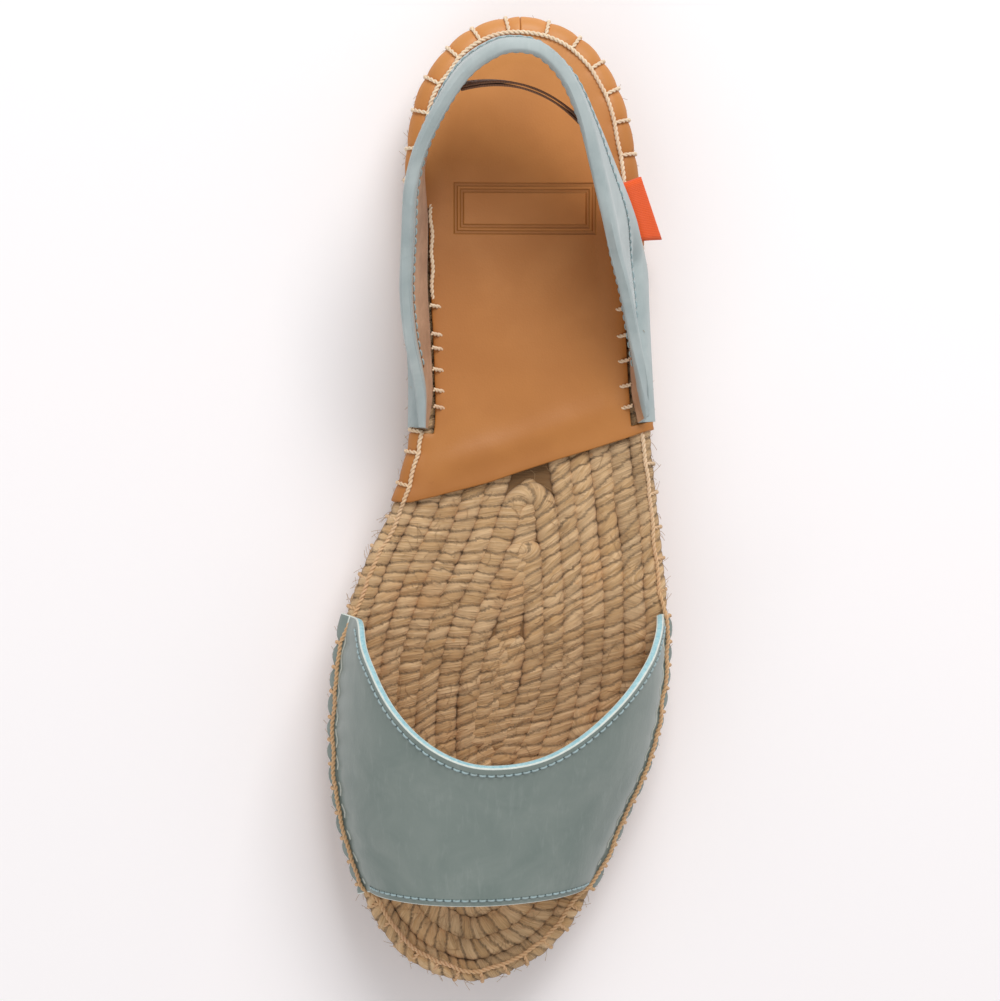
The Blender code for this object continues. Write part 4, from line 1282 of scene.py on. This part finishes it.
def strap_section(row):
    """The section at one row of the table: its middle points and half thicknesses."""
    top = np.array(
        [row.top_x * HALF_WIDTH, row.top_y * SOLE_LENGTH / 2, SOLE_TOP + row.top_z * STRAP_HEIGHT]
    )
    margin_half = STRAP_MARGIN_THICK / 2
    wall_half = STRAP_THICK / 2
    if row.foot:
        side = MEDIAL if row.top_x < 0 else LATERAL
        d = float(rim.find(side, row.foot))
        low = list(
            over_edge(d, np.array([1.0, 0.62, 0.27]) * STRAP_MARGIN, GAP + margin_half + 0.3 * MM)
        )
        for inset, out in ((row.inset - 0.6, 1.0), (row.inset, 2.1)):
            plan, _ = rim.at(d, inset * MM)
            low.append(bed(plan, GAP + out * MM)[0])
    else:
        edge = np.array(
            [row.low_x * HALF_WIDTH, row.low_y * SOLE_LENGTH / 2, SOLE_TOP + row.low_z * STRAP_HEIGHT]
        )
        low = [edge + (top - edge) * part for part in (0.0, 0.07, 0.14, 0.21, 0.30)]
    wall = top - low[-1]
    length = float(np.linalg.norm(wall))
    fit = min(1.0, length / TIP_HEIGHT)
    swell = STRAP_ROLL * (0.72 + 0.28 * row.top_z) * (0.45 + 0.55 * fit)
    wall_half *= 0.3 + 0.7 * fit
    roll = min(swell, length / (ROLL_DROPS[0] * 1.8))
    points = list(low)
    start = 1 - ROLL_DROPS[0] * roll / length
    points += [low[-1] + wall * start * part for part in (0.34, 0.67)]
    points += [top - wall * drop * roll / length for drop in ROLL_DROPS]
    half = [margin_half] * 3 + [0.5 * (margin_half + wall_half)] + [wall_half] * 3
    if not row.foot:
        half[:4] = [margin_half] + [wall_half] * 3
    half += [wall_half + (swell / 2 - wall_half) * share for share in ROLL_SWELL]
    return np.column_stack([np.array(points), half])


def kept_off(points):
    """Points with half thicknesses, raised where need be so that a sheet there clears the sole."""
    out = points.copy()
    depth = rim.depth(points[:, :2])
    place = 0.5 - points[:, 1] / SOLE_LENGTH
    medial = rim.at(rim.find(MEDIAL, place))[0][:, 0]
    lateral = rim.at(rim.find(LATERAL, place))[0][:, 0]
    inside = (medial < points[:, 0]) & (points[:, 0] < lateral)
    over = SHOULDER_OUT - np.where(inside, depth, -depth)
    clear = GAP + points[:, 3]
    share = np.clip(over / (SHOULDER_OUT + clear), 0, 1)
    low = SOLE_TOP + rise(points[:, 1]) - SHOULDER_DROP
    low = low + (SHOULDER_DROP + clear) * np.sqrt(1 - share**2)
    outside = over >= SHOULDER_OUT + clear
    out[:, 2] = np.where(outside, points[:, 2], np.maximum(points[:, 2], low))
    return out


def strap_grid():
    """The whole strap: stations from the medial tip round the heel, columns from the margin to
    the rolled top, and the half thickness as a fourth value."""
    packed = np.array([strap_section(row).ravel() for row in STRAP])
    curve = smooth_curve(packed, STRAP_SPANS, even=True)
    curve = curve.reshape(len(curve), -1, 4)
    for column in range(5):
        curve[:, column] = kept_off(curve[:, column])
    return curve


def finer_columns(curve, samples=3):
    return np.array([smooth_curve(section, samples, even=True) for section in curve])


def make_heel_strap(curve):
    """The sling of pale nubuck, its top edge rolled over a cord, lined with pigskin."""
    fine = finer_columns(curve)
    points, half = fine[:, :, :3], fine[:, :, 3]
    wall = np.clip((half - 0.9 * MM) / (0.3 * MM), 0, 1)
    normal = unit(np.cross(np.gradient(points, axis=0), np.gradient(points, axis=1)))
    along = lengths(points[:, 20])[:, None]
    ripple = wobble(along + 0.2 * np.arange(points.shape[1])[None, :] * MM, 21 * MM, 31) * 0.35 * MM
    points = points + normal * (ripple * wall)[:, :, None]
    columns = points.shape[1]
    uv = points[:, :, 1:] / (10 * MM)
    bm = merged([lay_grid(points, uv, shade=half / half.max())], merge=1e-7)
    shade = bm.verts.layers.float["groove"]
    loop_middle = Vector((4 * MM, 70 * MM, 45 * MM))
    outward = sum(
        f.normal.dot(f.calc_center_median() - loop_middle) for f in bm.faces
    )
    if outward < 0:
        bmesh.ops.reverse_faces(bm, faces=bm.faces)
    roll_from = points[:, columns - 8, 2]
    order = points[:, 20, :2]
    for face in bm.faces:
        middle = face.calc_center_median()
        station = int(np.argmin(((order - np.array([middle.x, middle.y])) ** 2).sum(axis=1)))
        face.material_index = 1 if middle.z > roll_from[station] else 0
    weights = [v[shade] for v in bm.verts]
    piece = finish_piece(
        "heel_sling",
        bm,
        [PALE, PALE, LINING, PALE],
        node="heel_strap",
        smooth=0,
    )
    group = piece.vertex_groups.new(name="wall")
    for index, weight in enumerate(weights):
        group.add([index], weight, "REPLACE")
    add_modifier(
        piece,
        "SOLIDIFY",
        thickness=2 * half.max(),
        offset=0.0,
        vertex_group="wall",
        material_offset=2,
    )
    add_modifier(
        piece, "BEVEL", width=0.30 * MM, segments=2, limit_method="ANGLE", angle_limit=math.radians(55)
    )
    add_modifier(piece, "SUBSURF", levels=1, render_levels=1)
    return points, half


def strap_point(curve, at, share):
    """The middle point, half thickness and outward normal at a station and a share of the way
    up its section."""
    at = int(round(at * STRAP_SPANS))
    section = curve[at]
    along = lengths(section[:, :3])
    d = share * along[-1]
    point = np.array([np.interp(d, along, section[:, k]) for k in range(4)])
    tangent = curve[at + 1, 6, :3] - curve[at - 1, 6, :3]
    normal = unit(np.cross(tangent, section[-1, :3] - section[4, :3]))
    if normal @ (section[6, :3] - np.array([0, SOLE_LENGTH / 4, 0])) < 0:
        normal = -normal
    return point[:3], point[3], normal


def make_strap_seams(points, half):
    """Machine stitches low on the strap's outer face and under its roll inside."""
    normal = unit(np.cross(np.gradient(points, axis=0), np.gradient(points, axis=1)))
    middle = np.array([4 * MM, 70 * MM, 45 * MM])
    flip = np.sign(((points - middle) * normal).sum(axis=2).mean())
    normal = normal * flip
    meshes, holes, lining_holes = [], [], []
    stations = len(points)
    for column, side, first, last in (
        (14, 1, 4 * STRAP_SPANS, stations - 26),
        (points.shape[1] - 9, -1, 14, stations - 14),
    ):
        rows = slice(first, last)
        out = side * (half[rows, column] + 0.05 * MM)
        line = points[rows, column] + normal[rows, column] * out[:, None]
        made = seam_stitches(line, side * normal[rows, column], 1.9 * MM, 0.7 * MM, 0.24 * MM)
        meshes += made[0]
        (holes if side == 1 else lining_holes).extend(made[1])
    finish_piece("sling_seams", merged(meshes, fill=8), [SEAM], smooth=0)
    # painted shade: dark discs for the needle holes on the strap's face and in its lining
    finish_piece("sling_seam_holes", hole_shade_discs(holes), [NEEDLE_HOLE_SHADE], smooth=0)
    finish_piece("sling_lining_holes", hole_shade_discs(lining_holes), [TAN_HOLE_SHADE], smooth=0)


def make_elastic(curve):
    """The heel's elastic: two plies of woven tape, sewn in at both ends."""
    ends = []
    heights = np.linspace(0.12, 0.70, 9)
    for at in ELASTIC_ROWS:
        line = []
        for share in heights:
            point, wall, normal = strap_point(curve, at, share)
            line.append(point - normal * (wall + GAP + 0.7 * MM))
        ends.append(np.array(line))
    chord = ends[1][1] - ends[0][1]
    out = unit(np.array([-chord[1], chord[0], 0.0]))
    out = out if out[1] > 0 else -out
    shares = np.linspace(0, 1, 33)
    meshes = []
    for ply in (-0.42, 0.42):
        bow = 4 * shares * (1 - shares) * ELASTIC_BOW
        middle = ends[0][None] * (1 - shares)[:, None, None] + ends[1][None] * shares[:, None, None]
        points = middle + out * (bow[:, None, None] + ply * MM)
        along = lengths(points[:, 4])
        up = lengths(points[16])
        uv = np.stack(np.meshgrid(up, along), axis=2)[:, :, ::-1] / (10 * MM)
        meshes.append(lay_grid(points, uv))
    width, length = float(up[-1]), float(along[-1])
    bm = merged(meshes, merge=1e-7, outward=False)
    piece = finish_piece("heel_elastic_tape", bm, [ELASTIC], node="heel_elastic", smooth=0)
    add_modifier(piece, "SOLIDIFY", thickness=0.55 * MM, offset=0.0)
    return piece, width, length


def make_tab(curve):
    """The folded ribbon under the strap's lower edge: two plies with a fold at the outer end."""
    seat = STRAP_THICK / 2 + 1.2 * GAP + 0.55 * MM
    ends = []
    sweep = math.radians(10)
    for at in TAB_ROWS:
        low, _, normal = strap_point(curve, at, 0.0)
        top, _, _ = strap_point(curve, at, 1.0)
        up = unit(top - low)
        out = unit(np.array([normal[0], normal[1], 0.0]))
        away = np.array(
            [
                out[0] * math.cos(sweep) - out[1] * math.sin(sweep),
                out[0] * math.sin(sweep) + out[1] * math.cos(sweep),
                -4.6 / 5.6,
            ]
        )
        under = low - up * 1.8 * MM
        path = [
            low + up * 3.0 * MM - normal * seat,
            low + up * 0.8 * MM - normal * seat,
            low - up * 1.2 * MM - normal * seat * 0.6,
            under + away * 0.8 * MM,
            under + away * 3.1 * MM,
            under + away * 5.5 * MM,
        ]
        path = smooth_curve(path, 6)
        tangent = unit(np.gradient(path, axis=0))
        station = int(at * STRAP_SPANS)
        along_strap = unit(curve[station + 1, 0, :3] - curve[station - 1, 0, :3])
        lift = unit(np.cross(tangent, along_strap))
        gap = np.full(len(path), 0.32 * MM)
        upper = path + lift * gap[:, None]
        lower = path - lift * gap[:, None]
        tip = path[-1] + tangent[-1] * 0.35 * MM
        ends.append(np.vstack([upper, tip[None], lower[::-1]]))
    shares = np.linspace(0, 1, 13)
    points = ends[0][None] * (1 - shares)[:, None, None] + ends[1][None] * shares[:, None, None]
    along = lengths(points[6])
    across = lengths(points[:, 10])
    uv = np.stack(np.meshgrid(along, across), axis=2) / (10 * MM)
    bm = merged([lay_grid(points, uv)], merge=1e-7, outward=False)
    piece = finish_piece("ribbon_tab", bm, [RIBBON], node="side_tab", smooth=0)
    add_modifier(piece, "SOLIDIFY", thickness=0.35 * MM, offset=0.0)
    return piece, float(across[-1]), float(along[-1])


# Loose fibres


def make_fuzz():
    """Loose jute fibres that stand off the yarns, more at the rim."""
    meshes = []
    for _ in range(520):
        d = rng.uniform(0, rim.round)
        travel = rng.uniform(-1.0 * MM, SHOULDER_ARC + 6 * MM)
        start = over_edge(d, travel, 0.0)[0]
        _, inward = rim.at(d)
        out = np.array([-inward[0], -inward[1], rng.uniform(-0.3, 0.9)])
        along = np.array([inward[1], -inward[0], 0.0]) * rng.choice([-1, 1])
        reach = rng.uniform(1.2, 3.4) * MM
        bend = unit(out * rng.uniform(0.15, 0.8) + along * rng.uniform(0.5, 1.2))
        points = [start - out * 0.5 * MM, start + bend * reach * 0.4, start + bend * reach]
        points[2] = points[2] + np.array([0, 0, rng.uniform(-0.8, 0.3) * MM])
        meshes.append(tube(smooth_curve(points, 2), 0.055 * MM, (0.3, 0.2, 0.9), sides=3))
    for _ in range(420):
        place = rng.uniform(0.43, 0.985)
        share = rng.uniform(0.05, 0.95)
        ends = [rim.at(rim.find(side, place), 3 * MM)[0] for side in (MEDIAL, LATERAL)]
        plan = ends[0] + (ends[1] - ends[0]) * share
        start = bed(plan, 0.2 * MM)[0]
        angle = rng.uniform(0, 2 * math.pi)
        reach = rng.uniform(2.0, 6.5) * MM
        side = np.array([math.cos(angle), math.sin(angle), 0.0])
        bow = np.array([-side[1], side[0], 0.0]) * rng.uniform(-0.3, 0.3)
        points = [
            start - side * reach / 2,
            start + bow * reach + np.array([0, 0, rng.uniform(0.1, 0.7) * MM]),
            start + side * reach / 2 + np.array([0, 0, rng.uniform(-0.3, 0.5) * MM]),
        ]
        meshes.append(tube(smooth_curve(points, 2), 0.055 * MM, (0.1, 0.2, 0.9), sides=3))
    finish_piece("jute_fuzz", merged(meshes, fill=4), [JUTE_TOP], smooth=0)


# Stage

CAMERA_PLACE = (-0.0561, 0.0027, 1.050)
CAMERA_AIM = (0.0, 0.0, 0.020)
CAMERA_LENS = 142.1


def aim(obj, place, target):
    """Puts a lamp or camera at a place and points it at a target, with +Y up in its view."""
    forward = (Vector(target) - Vector(place)).normalized()
    right = forward.cross(Vector((0, 1, 0))).normalized()
    up = right.cross(forward)
    turn = Matrix((right, up, -forward)).transposed()
    obj.matrix_world = Matrix.Translation(place) @ turn.to_4x4()


def make_stage():
    """A white table, a soft sky of white card, and a big softbox beyond the heel."""
    bm = bmesh.new()
    bmesh.ops.create_grid(bm, x_segments=2, y_segments=2, size=3.0)
    mesh = bpy.data.meshes.new("table")
    bm.to_mesh(mesh)
    bm.free()
    made, _, shader = new_material("white_card", Roughness=0.9)
    shader.inputs["Base Color"].default_value = colour("#fdfafc")
    mesh.materials.append(made)
    table = bpy.data.objects.new("table", mesh)
    bpy.context.scene.collection.objects.link(table)
    bpy.context.scene.view_settings.view_transform = "Standard"
    world = bpy.data.worlds.new("studio")
    bpy.context.scene.world = world
    world.use_nodes = True
    sky = world.node_tree.nodes["Background"]
    sky.inputs["Color"].default_value = (1.0, 0.99, 0.985, 1)
    sky.inputs["Strength"].default_value = 0.50
    for name, place, size, power, tint in (
        ("heel_softbox", (0.20, 0.75, 0.95), 0.6, 9.0, (1.0, 0.985, 0.97)),
        ("toe_fill", (-0.5, -0.8, 1.0), 1.0, 3.0, (0.99, 0.99, 1.0)),
    ):
        lamp = bpy.data.lights.new(name, "AREA")
        lamp.size = size
        lamp.energy = power
        lamp.color = tint
        obj = bpy.data.objects.new(name, lamp)
        bpy.context.scene.collection.objects.link(obj)
        aim(obj, place, (0, 0, 0))
    camera = bpy.data.cameras.new("camera")
    camera.lens = CAMERA_LENS
    camera.sensor_width = 36.0
    camera.clip_end = 10
    eye = bpy.data.objects.new("camera", camera)
    bpy.context.scene.collection.objects.link(eye)
    aim(eye, CAMERA_PLACE, CAMERA_AIM)
    bpy.context.scene.camera = eye


def main():
    make_stage()
    make_core()
    make_coil()
    make_rim_plait()
    make_insole()
    make_vamp()
    curve = strap_grid()
    points, half = make_heel_strap(curve)
    make_strap_seams(points, half)
    tape, width, length = make_elastic(curve)
    ribbon, width, length = make_tab(curve)
    make_blanket_stitch()
    make_base_stitches()
    make_fuzz()
    for obj in bpy.data.objects:
        if obj.name.startswith("outsole") and obj.type == "MESH":
            obj.data.materials.clear()
            obj.data.materials.append(RUBBER)


main()
